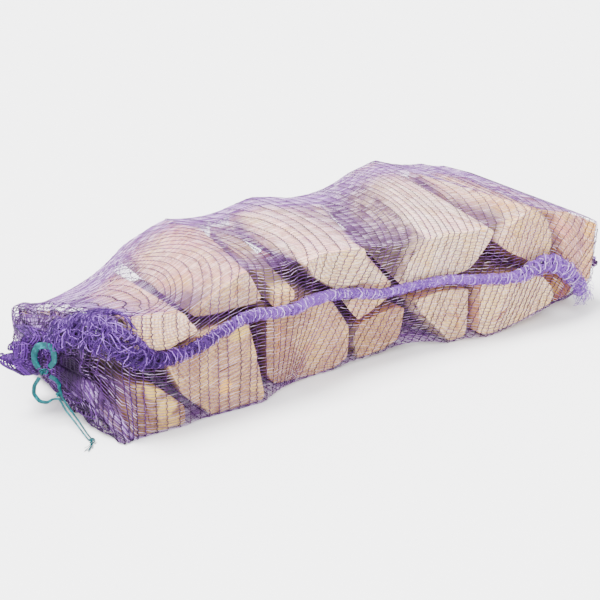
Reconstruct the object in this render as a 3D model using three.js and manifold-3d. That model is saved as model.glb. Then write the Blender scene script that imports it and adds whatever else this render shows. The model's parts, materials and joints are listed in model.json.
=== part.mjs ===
import * as THREE from "three";
import { ConvexGeometry } from "three/addons/geometries/ConvexGeometry.js";
import { mergeVertices } from "three/addons/utils/BufferGeometryUtils.js";
import Module from "manifold-3d";

// A knitted net sack full of split birch logs, lying on its side, in millimetres.
// While it is drawn, x runs from the mouth to the closed end, y from the front into the depth and z up, from
// the foot of the left front corner. At the end the part is moved so that its base is centred on the origin.

const wasm = await Module();
wasm.setup();

// Net sack
const WALL = 1.2; // thickness of the knitted skin
const SKIN_GAP = 0.5; // between the skin and the logs
const DIRECTIONS = 20; // flat stretches round one cross-section of the sack
const STATION_STEP = 14; // between two cross-sections along the sack
const BRIDGE_SPAN = 95; // the widest hollow between logs that the taut net bridges
const MOUTH_CLEARANCE = 1; // from the leftmost log to the end of the full cross-sections

// Gathered mouth
const NECK_CENTRE = [-40, 124, 66];
const NECK_AXIS = [-0.68, 0.7, -0.12]; // out of the sack, towards the mouth's rim
const NECK_RADIUS = 13;
const NECK_PLEAT = 0.1; // share of a ring's radius by which its pleats stand out
const NECK_HOLE_RADIUS = 5;
const PLEATS = 6;
const RUFFLE = [
  { beyond: 13, radius: 20, pleat: 0.12 },
  { beyond: 28, radius: 26, pleat: 0.2 },
  { beyond: 44, radius: 28, pleat: 0.24 },
]; // rings of the ruffle beyond the neck
const RUFFLE_WALL = 2.4; // thicker than the skin, because the net is bunched there
const END_SHRINK = 0.68; // share of the way to the neck over which the end panel lies flat against the logs
const END_LIFT = 0.14; // share of the way out to the neck at the edge of that flat stretch

// Side seam, gathered to a rope along the front
const SEAM_RADIUS = 4.8;
const SEAM_SIDES = 8;
const SEAM_STEPS = 64;
const SEAM_STAND_OUT = 3.4; // from the skin's face to the middle of the rope
const FACES_FRONT = -0.1; // a stretch of the skin faces the front where its direction's cosine is below this

// Drawstring of flat tape
const LOOP_THICKNESS = 4.2;
const TAIL_THICKNESS = 2.4;
const CORD_SIDES = 8;
const CORD_STEP = 2.2; // length of one straight step of a cord, in thicknesses

// Split logs. Each is cut across at both ends, and an end's outline is a list of [x, z] corners,
// counterclockwise seen from the front. A crack is a split in the front end, a splinter a torn-off edge.
const logs = [
  {
    name: "log_bottom_1",
    wood: "shaded",
    front: { y: 0, outline: [[0, 0], [76, 0], [74, 26], [46, 52], [4, 74]] },
    back: { y: 290, outline: [[-12, 0], [62, 0], [64, 24], [46, 48], [-8, 60]] },
    crack: { from: [30, 8], to: [22, 60] },
    splinter: { corner: [46, 52], size: 5, from: 150, to: 295 },
  },
  {
    name: "log_bottom_2",
    wood: "cut",
    front: { y: 5, outline: [[108, 0], [180, 0], [184, 8], [163, 108], [96, 103], [50, 86], [72, 36]] },
    back: { y: 300, outline: [[100, 0], [172, 0], [178, 10], [172, 64], [140, 66], [104, 48], [88, 24]] },
    crack: { from: [118, 52], to: [160, 57] },
    splinter: { corner: [163, 108], size: 6, from: 120, to: 310 },
  },
  {
    name: "log_bottom_3",
    wood: "cut",
    front: { y: 35, outline: [[214, 0], [300, 1], [322, 10], [323, 56], [296, 96], [203, 98], [201, 18]] },
    back: { y: 325, outline: [[208, 0], [310, 0], [318, 30], [304, 78], [270, 90], [200, 80], [196, 12]] },
    crack: { from: [270, 12], to: [262, 66] },
    splinter: { corner: [323, 56], size: 6, from: 30, to: 130 },
  },
  {
    name: "log_bottom_4",
    wood: "dark",
    front: { y: 40, outline: [[337, 3], [376, 5], [404, 15], [413, 58], [394, 63], [340, 53], [331, 34]] },
    back: { y: 320, outline: [[328, 0], [398, 0], [408, 20], [402, 55], [368, 62], [330, 46], [326, 20]] },
    crack: { from: [370, 10], to: [376, 52] },
    splinter: { corner: [413, 58], size: 5, from: 140, to: 330 },
  },
  {
    name: "log_bottom_5",
    wood: "cut",
    front: { y: 27, outline: [[474, 0], [502, 0], [506, 12], [506, 70], [460, 76], [414, 72], [422, 54]] },
    back: { y: 315, outline: [[424, 0], [500, 0], [508, 30], [498, 74], [450, 80], [424, 62], [416, 20]] },
    crack: { from: [488, 14], to: [486, 56] },
    splinter: { corner: [414, 72], size: 6, from: 20, to: 150 },
  },
  {
    name: "log_bottom_6",
    wood: "cut",
    front: {
      y: 15,
      outline: [
        [530, 0], [548, 2], [604, 13], [640, 22], [648, 32],
        [642, 48], [622, 67], [592, 77], [514, 79], [513, 6],
      ],
    },
    back: {
      y: 305,
      outline: [[530, 0], [624, 0], [644, 14], [648, 32], [636, 54], [606, 70], [520, 74], [516, 4]],
    },
    crack: { from: [540, 60], to: [590, 30] },
    splinter: { corner: [514, 79], size: 6, from: 90, to: 310 },
  },
  {
    name: "log_bottom_7",
    wood: "dark",
    front: { y: 60, outline: [[664, 0], [708, 0], [719, 8], [722, 20], [704, 34], [690, 46], [668, 54], [660, 50]] },
    back: { y: 318, outline: [[664, 0], [706, 0], [718, 12], [720, 26], [708, 42], [684, 57], [666, 58], [659, 50]] },
    crack: { from: [682, 10], to: [700, 28] },
    splinter: { corner: [660, 50], size: 5, from: 190, to: 330 },
  },
  {
    name: "log_top_1",
    wood: "cut",
    front: { y: 0, outline: [[10, 97], [58, 98], [90, 108], [96, 112], [76, 140], [6, 147], [2, 122]] },
    back: { y: 280, outline: [[62, 58], [100, 62], [118, 72], [120, 90], [98, 90], [58, 76]] },
    crack: { from: [20, 112], to: [52, 128] },
    splinter: { corner: [76, 140], size: 6, from: -5, to: 90 },
  },
  {
    name: "log_top_2",
    wood: "shaded",
    front: {
      y: 30,
      outline: [[126, 112], [190, 114], [196, 122], [176, 158], [168, 158], [100, 121], [104, 114]],
    },
    back: {
      y: 312,
      outline: [[134, 88], [222, 90], [252, 104], [254, 126], [212, 135], [184, 125], [148, 109]],
    },
    crack: { from: [150, 118], to: [168, 148] },
    splinter: { corner: [100, 121], size: 6, from: 170, to: 320 },
  },
  {
    name: "log_top_3",
    wood: "cut",
    front: { y: 8, outline: [[200, 110], [214, 112], [226, 119], [227, 131], [200, 134]] },
    back: { y: 290, outline: [[264, 92], [294, 92], [302, 104], [298, 118], [264, 122]] },
    crack: { from: [206, 108], to: [212, 130] },
    splinter: { corner: [227, 131], size: 4, from: 170, to: 300 },
  },
  {
    name: "log_top_4",
    wood: "pale",
    front: {
      y: 30,
      outline: [[297, 108], [345, 107], [350, 128], [341, 156], [278, 160], [250, 152], [268, 128]],
    },
    back: {
      y: 310,
      outline: [[306, 100], [362, 98], [386, 118], [380, 138], [342, 144], [312, 137], [306, 120]],
    },
    crack: { from: [290, 124], to: [314, 146] },
    splinter: { corner: [250, 152], size: 7, from: 30, to: 160 },
  },
  {
    name: "log_top_5",
    wood: "bark",
    front: {
      y: 30,
      outline: [[332, 60], [374, 78], [384, 90], [383, 102], [372, 107], [358, 105], [340, 98], [310, 88]],
    },
    back: {
      y: 320,
      outline: [[402, 84], [442, 82], [464, 98], [463, 116], [446, 129], [422, 129], [405, 112]],
    },
    crack: { from: [348, 84], to: [372, 98] },
    splinter: { corner: [384, 90], size: 5, from: 180, to: 330 },
  },
  {
    name: "log_top_6",
    wood: "pale",
    front: {
      y: 30,
      outline: [[396, 88], [506, 92], [524, 106], [550, 138], [540, 146], [434, 150], [404, 126]],
    },
    back: {
      y: 330,
      outline: [[474, 96], [560, 92], [604, 108], [610, 138], [566, 158], [520, 146], [480, 120]],
    },
    crack: { from: [450, 104], to: [500, 128] },
    splinter: { corner: [404, 126], size: 7, from: 20, to: 140 },
  },
  {
    name: "log_top_7",
    wood: "cut",
    front: {
      y: 20,
      outline: [
        [566, 108], [612, 82], [638, 88], [640, 120],
        [628, 144], [614, 157], [598, 165], [564, 148], [548, 120],
      ],
    },
    back: {
      y: 318,
      outline: [[624, 96], [648, 90], [658, 104], [658, 134], [640, 145], [620, 142], [620, 116]],
    },
    crack: { from: [586, 112], to: [616, 132] },
    splinter: { corner: [564, 148], size: 5, from: 20, to: 110 },
  },
  {
    name: "log_top_8",
    wood: "cut",
    front: {
      y: 20,
      outline: [[666, 62], [686, 58], [708, 36], [716, 42], [719, 122], [700, 132], [660, 148], [650, 122]],
    },
    back: {
      y: 300,
      outline: [[670, 68], [706, 61], [722, 52], [727, 62], [726, 121], [700, 130], [670, 141], [666, 100]],
    },
    crack: { from: [680, 80], to: [700, 120] },
    splinter: { corner: [719, 122], size: 6, from: 150, to: 310 },
  },
];

const CRACK_WIDTH = 2.4;
const CRACK_DEPTH = 16;

const WOOD_COLOURS = {
  pale: "#e6dcc8",
  cut: "#d9c6a2",
  shaded: "#bfa98a",
  dark: "#a3815c",
  bark: "#8a7d76",
};

// Seam route, chosen by hand: round the left front corner from the neck as [x, y, z], then along the front to
// the closed end's foot as [x, z], where the skin gives y.
const SEAM_TO_NECK = [[-29, 86, 88], [-24, 62, 97], [-18.5, 28, 107], [-8, 6, 110], [0, -4, 108]];
const SEAM_ON_FRONT = [
  [11, 102], [28, 94], [50, 90], [73, 92], [96, 98], [122, 105], [148, 111], [172, 114],
  [205, 110], [243, 111], [276, 108], [300, 106], [336, 98], [364, 91], [398, 92], [434, 93],
  [467, 91], [506, 85], [545, 79], [580, 78], [600, 85], [622, 88],
  [639, 82], [654, 73], [670, 59], [684, 46], [694, 32], [695, 20],
];

// Drawstring knots, and its routes from knot to knot, chosen by hand
const UPPER_KNOT = { centre: [-54.5, 98.5, 60], size: [12, 7, 9] };
const LOWER_KNOT = { centre: [-45, 82.5, 35], size: [7, 6, 6] };
const END_KNOT = { centre: [-34, 19, 1.7], size: [9, 7, 6] };
const UPPER_LOOP = [
  [-59.5, 100.5, 65], [-61, 104, 73], [-59.5, 106.5, 82], [-54, 107, 89.5], [-47, 104, 91.2],
  [-41, 99.5, 89], [-39, 96.3, 83], [-40, 94, 74], [-46.5, 95, 66],
];
const LOWER_LOOP_LEFT = [
  [-60.5, 96.5, 55], [-67.5, 95.5, 47], [-69.5, 93.5, 38],
  [-65.5, 88.5, 30], [-58.5, 84.5, 28], [-52, 82.5, 31],
];
const LOWER_LOOP_RIGHT = [[-49.5, 93.5, 55], [-45, 88.5, 52], [-42, 85.5, 47], [-42.5, 84, 41.5]];
const TAIL_FRONT = [[-46, 77.5, 31.5], [-43.5, 66, 21.5], [-39, 50, 11], [-36.5, 34, 3.4], [-36, 24, 1.4]];
const TAIL_BACK = [[-42, 77.5, 31.5], [-38.5, 67, 22], [-34.5, 52, 11.5], [-32.8, 36, 3.8], [-32.4, 24.5, 1.6]];
const END_TIP = [[-36, 14, 1], [-40, 9, 0], [-44, 5, -0.3]];

const TAU = 2 * Math.PI;
const bundle = new THREE.Group();

function materialOf(colour, roughness) {
  return new THREE.MeshStandardMaterial({ color: colour, roughness, metalness: 0 });
}

function addMesh(name, geometry, material) {
  const mesh = new THREE.Mesh(geometry, material);
  mesh.name = name;
  bundle.add(mesh);
}

// A closed geometry as a solid that can be cut or joined.
function solidOf(geometry) {
  const bare = geometry.clone();
  bare.deleteAttribute("normal");
  bare.deleteAttribute("uv");
  const merged = mergeVertices(bare, 1e-4);
  return new wasm.Manifold(
    new wasm.Mesh({
      numProp: 3,
      vertProperties: merged.attributes.position.array,
      triVerts: new Uint32Array(merged.index.array),
    }),
  );
}

function geometryOf(solid) {
  const mesh = solid.getMesh();
  const geometry = new THREE.BufferGeometry();
  geometry.setAttribute("position", new THREE.BufferAttribute(mesh.vertProperties, 3));
  geometry.setIndex(new THREE.BufferAttribute(mesh.triVerts, 1));
  return geometry;
}

// Logs

function endPoints(end) {
  return end.outline.map(([x, z]) => new THREE.Vector3(x, end.y, z));
}

function cornersOf(log) {
  return [...endPoints(log.front), ...endPoints(log.back)];
}

// A wedge with its mouth on the front end, from one [x, z] place to another, CRACK_DEPTH deep.
function crackWedge(log) {
  const [x0, z0] = log.crack.from;
  const [x1, z1] = log.crack.to;
  const length = Math.hypot(x1 - x0, z1 - z0);
  const outline = new THREE.Shape();
  outline.moveTo(-CRACK_WIDTH, -CRACK_DEPTH);
  outline.lineTo(CRACK_WIDTH, -CRACK_DEPTH);
  outline.lineTo(0, CRACK_DEPTH);
  const wedge = new THREE.ExtrudeGeometry(outline, { depth: length, bevelEnabled: false });
  const along = new THREE.Vector3((x1 - x0) / length, 0, (z1 - z0) / length);
  const inwards = new THREE.Vector3(0, 1, 0);
  const across = new THREE.Vector3().crossVectors(inwards, along);
  const turn = new THREE.Matrix4().makeBasis(across, inwards, along);
  turn.setPosition(x0, log.front.y, z0);
  return wedge.applyMatrix4(turn);
}

// A square bar laid along a long edge, which leaves a stepped, torn corner where it is cut away.
function splinterBar(log) {
  const { corner, size, from, to } = log.splinter;
  const depth = log.back.y - log.front.y;
  const index = log.front.outline.findIndex(([x, z]) => x === corner[0] && z === corner[1]);
  const other = log.back.outline[Math.min(index, log.back.outline.length - 1)];
  const at = (share) => new THREE.Vector3(
    THREE.MathUtils.lerp(corner[0], other[0], share),
    THREE.MathUtils.lerp(log.front.y, log.back.y, share),
    THREE.MathUtils.lerp(corner[1], other[1], share),
  );
  const [a, b] = [at((from - log.front.y) / depth), at((to - log.front.y) / depth)];
  const bar = new THREE.BoxGeometry(2 * size, a.distanceTo(b), size);
  const turn = new THREE.Quaternion().setFromUnitVectors(
    new THREE.Vector3(0, 1, 0),
    b.clone().sub(a).normalize(),
  );
  bar.applyQuaternion(turn);
  const middle = a.add(b).multiplyScalar(0.5);
  return bar.translate(middle.x, middle.y, middle.z);
}

function makeLog(log) {
  const whole = solidOf(new ConvexGeometry(cornersOf(log)));
  return geometryOf(whole.subtract(solidOf(crackWedge(log))).subtract(solidOf(splinterBar(log))));
}

// Net sack

// Where the logs lie between two planes across the sack: [y, z] places on the planes and at corners between.
function placesBetween(low, high) {
  const places = [];
  for (const log of logs) {
    const corners = cornersOf(log);
    corners.forEach((a, i) => {
      if (a.x >= low && a.x <= high) places.push([a.y, a.z]);
      for (const b of corners.slice(i + 1)) {
        for (const plane of [low, high]) {
          const share = (plane - a.x) / (b.x - a.x);
          if (share > 0 && share < 1) {
            places.push([a.y + share * (b.y - a.y), a.z + share * (b.z - a.z)]);
          }
        }
      }
    });
  }
  return places;
}

const directions = Array.from({ length: DIRECTIONS }, (_, k) => {
  const angle = (TAU * k) / DIRECTIONS;
  return [Math.cos(angle), Math.sin(angle)];
});

const xOfLogs = logs.flatMap((log) => cornersOf(log).map((corner) => corner.x));
const SACK_START = Math.min(...xOfLogs) - MOUTH_CLEARANCE;
const SACK_END = Math.max(...xOfLogs) + MOUTH_CLEARANCE;
const STATION_COUNT = Math.round((SACK_END - SACK_START) / STATION_STEP) + 1;
const stationSpace = (SACK_END - SACK_START) / (STATION_COUNT - 1);
const stations = Array.from({ length: STATION_COUNT }, (_, i) => SACK_START + i * stationSpace);

// The furthest reach of the logs near each station in each direction, before the net bridges the hollows.
const reaches = stations.map((x) => {
  const places = placesBetween(x - stationSpace, x + stationSpace);
  return directions.map(([cos, sin]) => Math.max(...places.map(([y, z]) => y * cos + z * sin)));
});

// A taut net runs straight from one high place to the next across a hollow that is narrow enough.
const tautReaches = stations.map((_, i) =>
  directions.map((__, k) => {
    let best = reaches[i][k];
    for (let a = 0; a <= i; a += 1) {
      for (let b = i + 1; b < STATION_COUNT && (b - a) * stationSpace <= BRIDGE_SPAN; b += 1) {
        const share = (i - a) / (b - a);
        best = Math.max(best, reaches[a][k] + share * (reaches[b][k] - reaches[a][k]));
      }
    }
    return best;
  }),
);

// Corner k of a cross-section is where its flat stretches k and k + 1 meet.
function sectionCorners(reach, outwards) {
  return directions.map(([cosA, sinA], k) => {
    const next = (k + 1) % DIRECTIONS;
    const [cosB, sinB] = directions[next];
    const a = reach[k] + outwards;
    const b = reach[next] + outwards;
    const size = cosA * sinB - cosB * sinA;
    return [(a * sinB - b * sinA) / size, (cosA * b - cosB * a) / size];
  });
}

const neckAxis = new THREE.Vector3(...NECK_AXIS).normalize();
const neckUp = new THREE.Vector3(0, 0, 1).addScaledVector(neckAxis, -neckAxis.z).normalize();
const neckAside = new THREE.Vector3().crossVectors(neckAxis, neckUp);

// A pleated ring round the neck's axis, a distance beyond the neck, radius x (1 + pleat cos(PLEATS angle)).
function neckRing(beyond, radius, pleat) {
  return directions.map((_, k) => {
    const angle = (TAU * (k + 0.5)) / DIRECTIONS;
    const reach = radius * (1 + pleat * Math.cos(PLEATS * angle));
    return new THREE.Vector3(...NECK_CENTRE)
      .addScaledVector(neckAxis, beyond)
      .addScaledVector(neckAside, reach * Math.cos(angle))
      .addScaledVector(neckUp, reach * Math.sin(angle));
  });
}

function blendRings(a, b, share) {
  return a.map((point, k) => point.clone().lerp(b[k], share));
}

// The rings of one face of the skin, from the closed end to the mouth's rim.
function skinRings(outwards, neckRadius, thin) {
  const rings = stations
    .map((x, i) => sectionCorners(tautReaches[i], outwards).map(([y, z]) => new THREE.Vector3(x, y, z)))
    .reverse();
  const neck = neckRing(0, neckRadius, NECK_PLEAT);
  const last = rings[rings.length - 1];
  const panel = blendRings(last, neck, END_SHRINK);
  panel.forEach((point) => (point.x = THREE.MathUtils.lerp(last[0].x, NECK_CENTRE[0], END_LIFT) - outwards));
  rings.push(panel, neck);
  rings.push(...RUFFLE.map(({ beyond, radius, pleat }) => neckRing(beyond, radius - thin, pleat)));
  return rings;
}

// A closed skin: an outer face, an inner face, a rim that joins them at the mouth, and an end panel.
function makeSkin() {
  const outer = skinRings(SKIN_GAP + WALL, NECK_RADIUS, 0);
  const inner = skinRings(SKIN_GAP, NECK_HOLE_RADIUS, RUFFLE_WALL);
  outer[0].forEach((point) => (point.x += WALL));
  const rings = [...outer, ...inner.reverse()];
  const centres = [outer[0], inner[inner.length - 1]].map((ring) =>
    ring.reduce((sum, point) => sum.add(point), new THREE.Vector3()).divideScalar(DIRECTIONS),
  );
  const positions = [...rings.flat(), ...centres].flatMap((point) => point.toArray());
  const faces = [];
  for (let r = 0; r + 1 < rings.length; r += 1) {
    for (let k = 0; k < DIRECTIONS; k += 1) {
      const next = (k + 1) % DIRECTIONS;
      const [a, b] = [r * DIRECTIONS + k, r * DIRECTIONS + next];
      const [c, d] = [a + DIRECTIONS, b + DIRECTIONS];
      faces.push(a, d, b, a, c, d);
    }
  }
  const firstCentre = rings.length * DIRECTIONS;
  const lastRing = (rings.length - 1) * DIRECTIONS;
  for (let k = 0; k < DIRECTIONS; k += 1) {
    const next = (k + 1) % DIRECTIONS;
    faces.push(firstCentre, k, next);
    faces.push(firstCentre + 1, lastRing + next, lastRing + k);
  }
  const skin = new THREE.BufferGeometry();
  skin.setAttribute("position", new THREE.Float32BufferAttribute(positions, 3));
  skin.setIndex(faces);
  return skin;
}

// The skin's front face at a place along the sack and a height.
function frontOfSkin(x, z) {
  const place = THREE.MathUtils.clamp((x - SACK_START) / stationSpace, 0, STATION_COUNT - 1.001);
  const i = Math.floor(place);
  const faces = directions.map(([cos, sin], k) => {
    const reach = THREE.MathUtils.lerp(tautReaches[i][k], tautReaches[i + 1][k], place - i) + SKIN_GAP + WALL;
    return cos < FACES_FRONT ? (reach - z * sin) / cos : -Infinity;
  });
  return Math.max(...faces);
}

function smoothPath(points) {
  const places = points.map((point) => new THREE.Vector3(...point));
  return new THREE.CatmullRomCurve3(places, false, "centripetal");
}

function tubeAlong(path, radius, sides, steps) {
  const section = new THREE.Shape(
    Array.from({ length: sides }, (_, k) => {
      const angle = (TAU * (k + 0.5)) / sides;
      return new THREE.Vector2(radius * Math.cos(angle), radius * Math.sin(angle));
    }),
  );
  return new THREE.ExtrudeGeometry(section, { steps, extrudePath: path });
}

function makeSack() {
  const onFront = SEAM_ON_FRONT.map(([x, z]) => [x, frontOfSkin(x, z) - SEAM_STAND_OUT, z]);
  const seam = tubeAlong(smoothPath([...SEAM_TO_NECK, ...onFront]), SEAM_RADIUS, SEAM_SIDES, SEAM_STEPS);
  return geometryOf(solidOf(makeSkin()).add(solidOf(seam)));
}

// Drawstring

function cordTube(points, thickness) {
  const path = smoothPath(points);
  const steps = Math.max(3, Math.round(path.getLength() / (CORD_STEP * thickness)));
  return tubeAlong(path, thickness / 2, CORD_SIDES, steps);
}

function knot({ centre, size }) {
  const lump = new THREE.IcosahedronGeometry(0.5, 1);
  lump.scale(...size);
  return lump.translate(...centre);
}

for (const log of logs) {
  addMesh(log.name, makeLog(log), materialOf(WOOD_COLOURS[log.wood], 0.85));
}
addMesh("net_sack", makeSack(), materialOf("#6f54b0", 0.6));
const teal = materialOf("#0f9c9a", 0.5);
addMesh("drawstring_upper_knot", knot(UPPER_KNOT), teal.clone());
addMesh("drawstring_lower_knot", knot(LOWER_KNOT), teal.clone());
addMesh("drawstring_end_knot", knot(END_KNOT), teal.clone());
addMesh("drawstring_upper_loop", cordTube(UPPER_LOOP, LOOP_THICKNESS), teal.clone());
addMesh("drawstring_lower_loop_left", cordTube(LOWER_LOOP_LEFT, LOOP_THICKNESS), teal.clone());
addMesh("drawstring_lower_loop_right", cordTube(LOWER_LOOP_RIGHT, LOOP_THICKNESS), teal.clone());
addMesh("drawstring_tail_front", cordTube(TAIL_FRONT, TAIL_THICKNESS), teal.clone());
addMesh("drawstring_tail_back", cordTube(TAIL_BACK, TAIL_THICKNESS), teal.clone());
addMesh("drawstring_tip", cordTube(END_TIP, TAIL_THICKNESS), teal.clone());

// The origin is below the middle of the sack and logs, on the surface that they lie on.
const body = new THREE.Box3();
bundle.children
  .filter((mesh) => !mesh.name.startsWith("drawstring"))
  .forEach((mesh) => body.expandByObject(mesh, true));
const centre = body.getCenter(new THREE.Vector3());
bundle.position.set(-centre.x, -centre.y, -body.min.z);

export default bundle;
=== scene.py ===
import json
import math

import bpy
import numpy as np
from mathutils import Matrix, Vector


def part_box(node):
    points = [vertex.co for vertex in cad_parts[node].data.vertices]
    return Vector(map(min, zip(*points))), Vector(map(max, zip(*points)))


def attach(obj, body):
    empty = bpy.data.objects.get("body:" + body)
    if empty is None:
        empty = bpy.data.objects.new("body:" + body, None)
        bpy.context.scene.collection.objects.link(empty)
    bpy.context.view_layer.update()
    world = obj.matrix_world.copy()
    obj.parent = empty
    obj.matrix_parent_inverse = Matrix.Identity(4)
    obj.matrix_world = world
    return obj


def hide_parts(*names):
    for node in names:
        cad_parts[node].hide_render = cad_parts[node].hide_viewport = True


# A purple knitted net sack full of split birch logs, lying on its side.

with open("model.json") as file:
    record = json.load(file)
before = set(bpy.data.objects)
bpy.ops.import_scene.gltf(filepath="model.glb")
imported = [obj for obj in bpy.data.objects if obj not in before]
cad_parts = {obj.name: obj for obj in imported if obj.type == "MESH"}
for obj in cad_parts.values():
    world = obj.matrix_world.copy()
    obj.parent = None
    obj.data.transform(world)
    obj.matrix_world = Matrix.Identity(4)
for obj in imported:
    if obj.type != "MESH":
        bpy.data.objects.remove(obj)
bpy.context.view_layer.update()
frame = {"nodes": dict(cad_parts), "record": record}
tau = 2 * math.pi

# The solids were drawn in millimetres from the left front corner of the first log's foot, which is here.
firstLow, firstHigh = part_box("log_bottom_1")
firstLogWidth = 0.076
drawnOrigin = np.array([firstHigh.x - firstLogWidth, firstLow.y, firstLow.z])


def placed(points):
    return np.array(points, float) / 1000 + drawnOrigin


def drawnX(metres):
    return (metres - drawnOrigin[0]) * 1000


# Camera, at the photograph's viewing angle

cameraPlan = {"place": (-537.4, -1215.6, 695.4), "lens": 79.56, "turn": 32.2, "down": 21.8}

camera = bpy.data.objects.new("camera", bpy.data.cameras.new("camera"))
camera.data.lens = cameraPlan["lens"]
camera.data.sensor_width = 36
camera.location = placed(cameraPlan["place"])
camera.rotation_euler = (math.radians(90 - cameraPlan["down"]), 0, math.radians(-cameraPlan["turn"]))
bpy.context.scene.collection.objects.link(camera)
bpy.context.scene.camera = camera


# Materials


class Wire:
    # wraps an output socket, so that an expression on it adds its Math nodes
    def __init__(self, paint, socket):
        self.paint = paint
        self.socket = socket

    def maths(self, operation, first, second=0.0):
        return self.paint.node("ShaderNodeMath", {"operation": operation}, {0: first, 1: second})

    def __add__(self, other):
        return self.maths("ADD", self, other)

    def __radd__(self, other):
        return self.maths("ADD", other, self)

    def __sub__(self, other):
        return self.maths("SUBTRACT", self, other)

    def __rsub__(self, other):
        return self.maths("SUBTRACT", other, self)

    def __mul__(self, other):
        return self.maths("MULTIPLY", self, other)

    def __rmul__(self, other):
        return self.maths("MULTIPLY", other, self)

    def sine(self):
        return self.maths("SINE", self)

    def step(self, low, high):
        # 0 below low, 1 above high, and smooth between
        return self.paint.node(
            "ShaderNodeMapRange",
            {"interpolation_type": "SMOOTHSTEP"},
            {"Value": self, "From Min": low, "From Max": high},
        )


class Paint:
    # one material, whose surface is the shader that ends it
    def __init__(self, name):
        self.material = bpy.data.materials.new(name)
        self.material.use_nodes = True
        self.tree = self.material.node_tree
        self.surface = self.tree.nodes["Principled BSDF"]

    def join(self, socket, value):
        if isinstance(value, Wire):
            self.tree.links.new(value.socket, socket)
        else:
            socket.default_value = value

    def node(self, kind, settings, inputs, output=0):
        made = self.tree.nodes.new(kind)
        for name, value in settings.items():
            setattr(made, name, value)
        for name, value in inputs.items():
            self.join(made.inputs[name], value)
        return Wire(self, made.outputs[output])

    def set(self, **values):
        for name, value in values.items():
            self.join(self.surface.inputs[name.replace("_", " ")], value)

    def place(self, stretch):
        # object coordinates, in metres, times a number for each axis
        coordinates = self.node("ShaderNodeTexCoord", {}, {}, "Object")
        return self.node("ShaderNodeVectorMath", {"operation": "MULTIPLY"}, {0: coordinates, 1: stretch})

    def noise(self, stretch, detail=2.0, roughness=0.5):
        inputs = {"Vector": self.place(stretch), "Scale": 1.0, "Detail": detail, "Roughness": roughness}
        return self.node("ShaderNodeTexNoise", {}, inputs)

    def away(self, stretch, centre):
        # how far a place is from the centre, both of them stretched
        both = {0: self.place(stretch), 1: centre}
        offset = self.node("ShaderNodeVectorMath", {"operation": "SUBTRACT"}, both)
        return self.node("ShaderNodeVectorMath", {"operation": "LENGTH"}, {0: offset}, "Value")

    def mix(self, factor, first, second):
        return self.node("ShaderNodeMix", {"data_type": "RGBA"}, {0: factor, 6: first, 7: second}, 2)

    def attribute(self, name):
        return self.node("ShaderNodeAttribute", {"attribute_name": name}, {}, "Fac")

    def bump(self, height, distance):
        return self.node("ShaderNodeBump", {}, {"Height": height, "Distance": distance, "Strength": 1.0})


def tint(red, green, blue):
    # a colour as a picture shows it, 0 to 255, made linear
    shares = [value / 255 for value in (red, green, blue)]
    linear = [s / 12.92 if s <= 0.04045 else ((s + 0.055) / 1.055) ** 2.4 for s in shares]
    return (*linear, 1.0)


def shaded(colour, shares):
    # a colour with its red, green and blue each made a share of what they are
    return tint(*[min(255, value * share) for value, share in zip(colour, shares)])


# Meshes


def smoothstep(low, high, values):
    share = np.clip((np.asarray(values, float) - low) / (high - low), 0, 1)
    return share * share * (3 - 2 * share)


def unit(vectors):
    return vectors / np.maximum(np.linalg.norm(vectors, axis=-1, keepdims=True), 1e-12)


def gridFaces(rows, columns):
    # Two triangles for each cell of a grid whose last column meets its first. They face outwards where the
    # columns run clockwise, seen from beyond the last row.
    row, column = np.meshgrid(np.arange(rows - 1), np.arange(columns), indexing="ij")
    following = (column + 1) % columns
    a, b = row * columns + column, row * columns + following
    c, d = a + columns, b + columns
    return np.concatenate([np.stack([a, d, b], -1).reshape(-1, 3), np.stack([a, c, d], -1).reshape(-1, 3)])


def tubeFaces(rows, columns):
    # a grid whose first and last rows are each closed by a fan of triangles
    fan = np.arange(1, columns - 1)
    hub = 0 * fan
    first = np.stack([hub, fan, fan + 1], -1)
    last = (rows - 1) * columns + np.stack([hub, fan + 1, fan], -1)
    return np.concatenate([gridFaces(rows, columns), first, last])


def outwardFaces(points, faces):
    # the same faces, turned round if the volume that they enclose comes out below nought
    a, b, c = (points[faces[:, k]] - points.mean(axis=0) for k in range(3))
    return faces[:, ::-1] if (np.cross(a, b) * c).sum() < 0 else faces


def capped(grid):
    # a grid of rings whose first and last rings are closed round a point in their middle
    rows, columns = grid.shape[:2]
    points = np.concatenate([grid.reshape(-1, 3), [grid[0].mean(axis=0)], [grid[-1].mean(axis=0)]])
    k = np.arange(columns)
    following, middle, last = (k + 1) % columns, np.full(columns, rows * columns), (rows - 1) * columns
    ends = [np.stack([middle, k, following], -1), np.stack([middle + 1, last + following, last + k], -1)]
    return points, outwardFaces(points, np.concatenate([gridFaces(rows, columns)] + ends))


def makePiece(name, points, faces, material, slot, replaced=()):
    mesh = bpy.data.meshes.new(name)
    mesh.vertices.add(len(points))
    mesh.vertices.foreach_set("co", np.asarray(points, np.float32).ravel())
    mesh.loops.add(faces.size)
    mesh.loops.foreach_set("vertex_index", faces.astype(np.int32).ravel())
    mesh.polygons.add(len(faces))
    mesh.polygons.foreach_set("loop_start", np.arange(0, faces.size, 3, dtype=np.int32))
    mesh.update(calc_edges=True)
    mesh.shade_smooth()
    mesh.materials.append(material)
    piece = bpy.data.objects.new(name, mesh)
    bpy.context.scene.collection.objects.link(piece)
    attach(piece, "root")
    if replaced:
        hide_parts(*replaced)
    return piece


def giveAttribute(piece, name, values):
    attribute = piece.data.attributes.new(name, "FLOAT", "POINT")
    attribute.data.foreach_set("value", np.asarray(values, np.float32).ravel())


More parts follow.
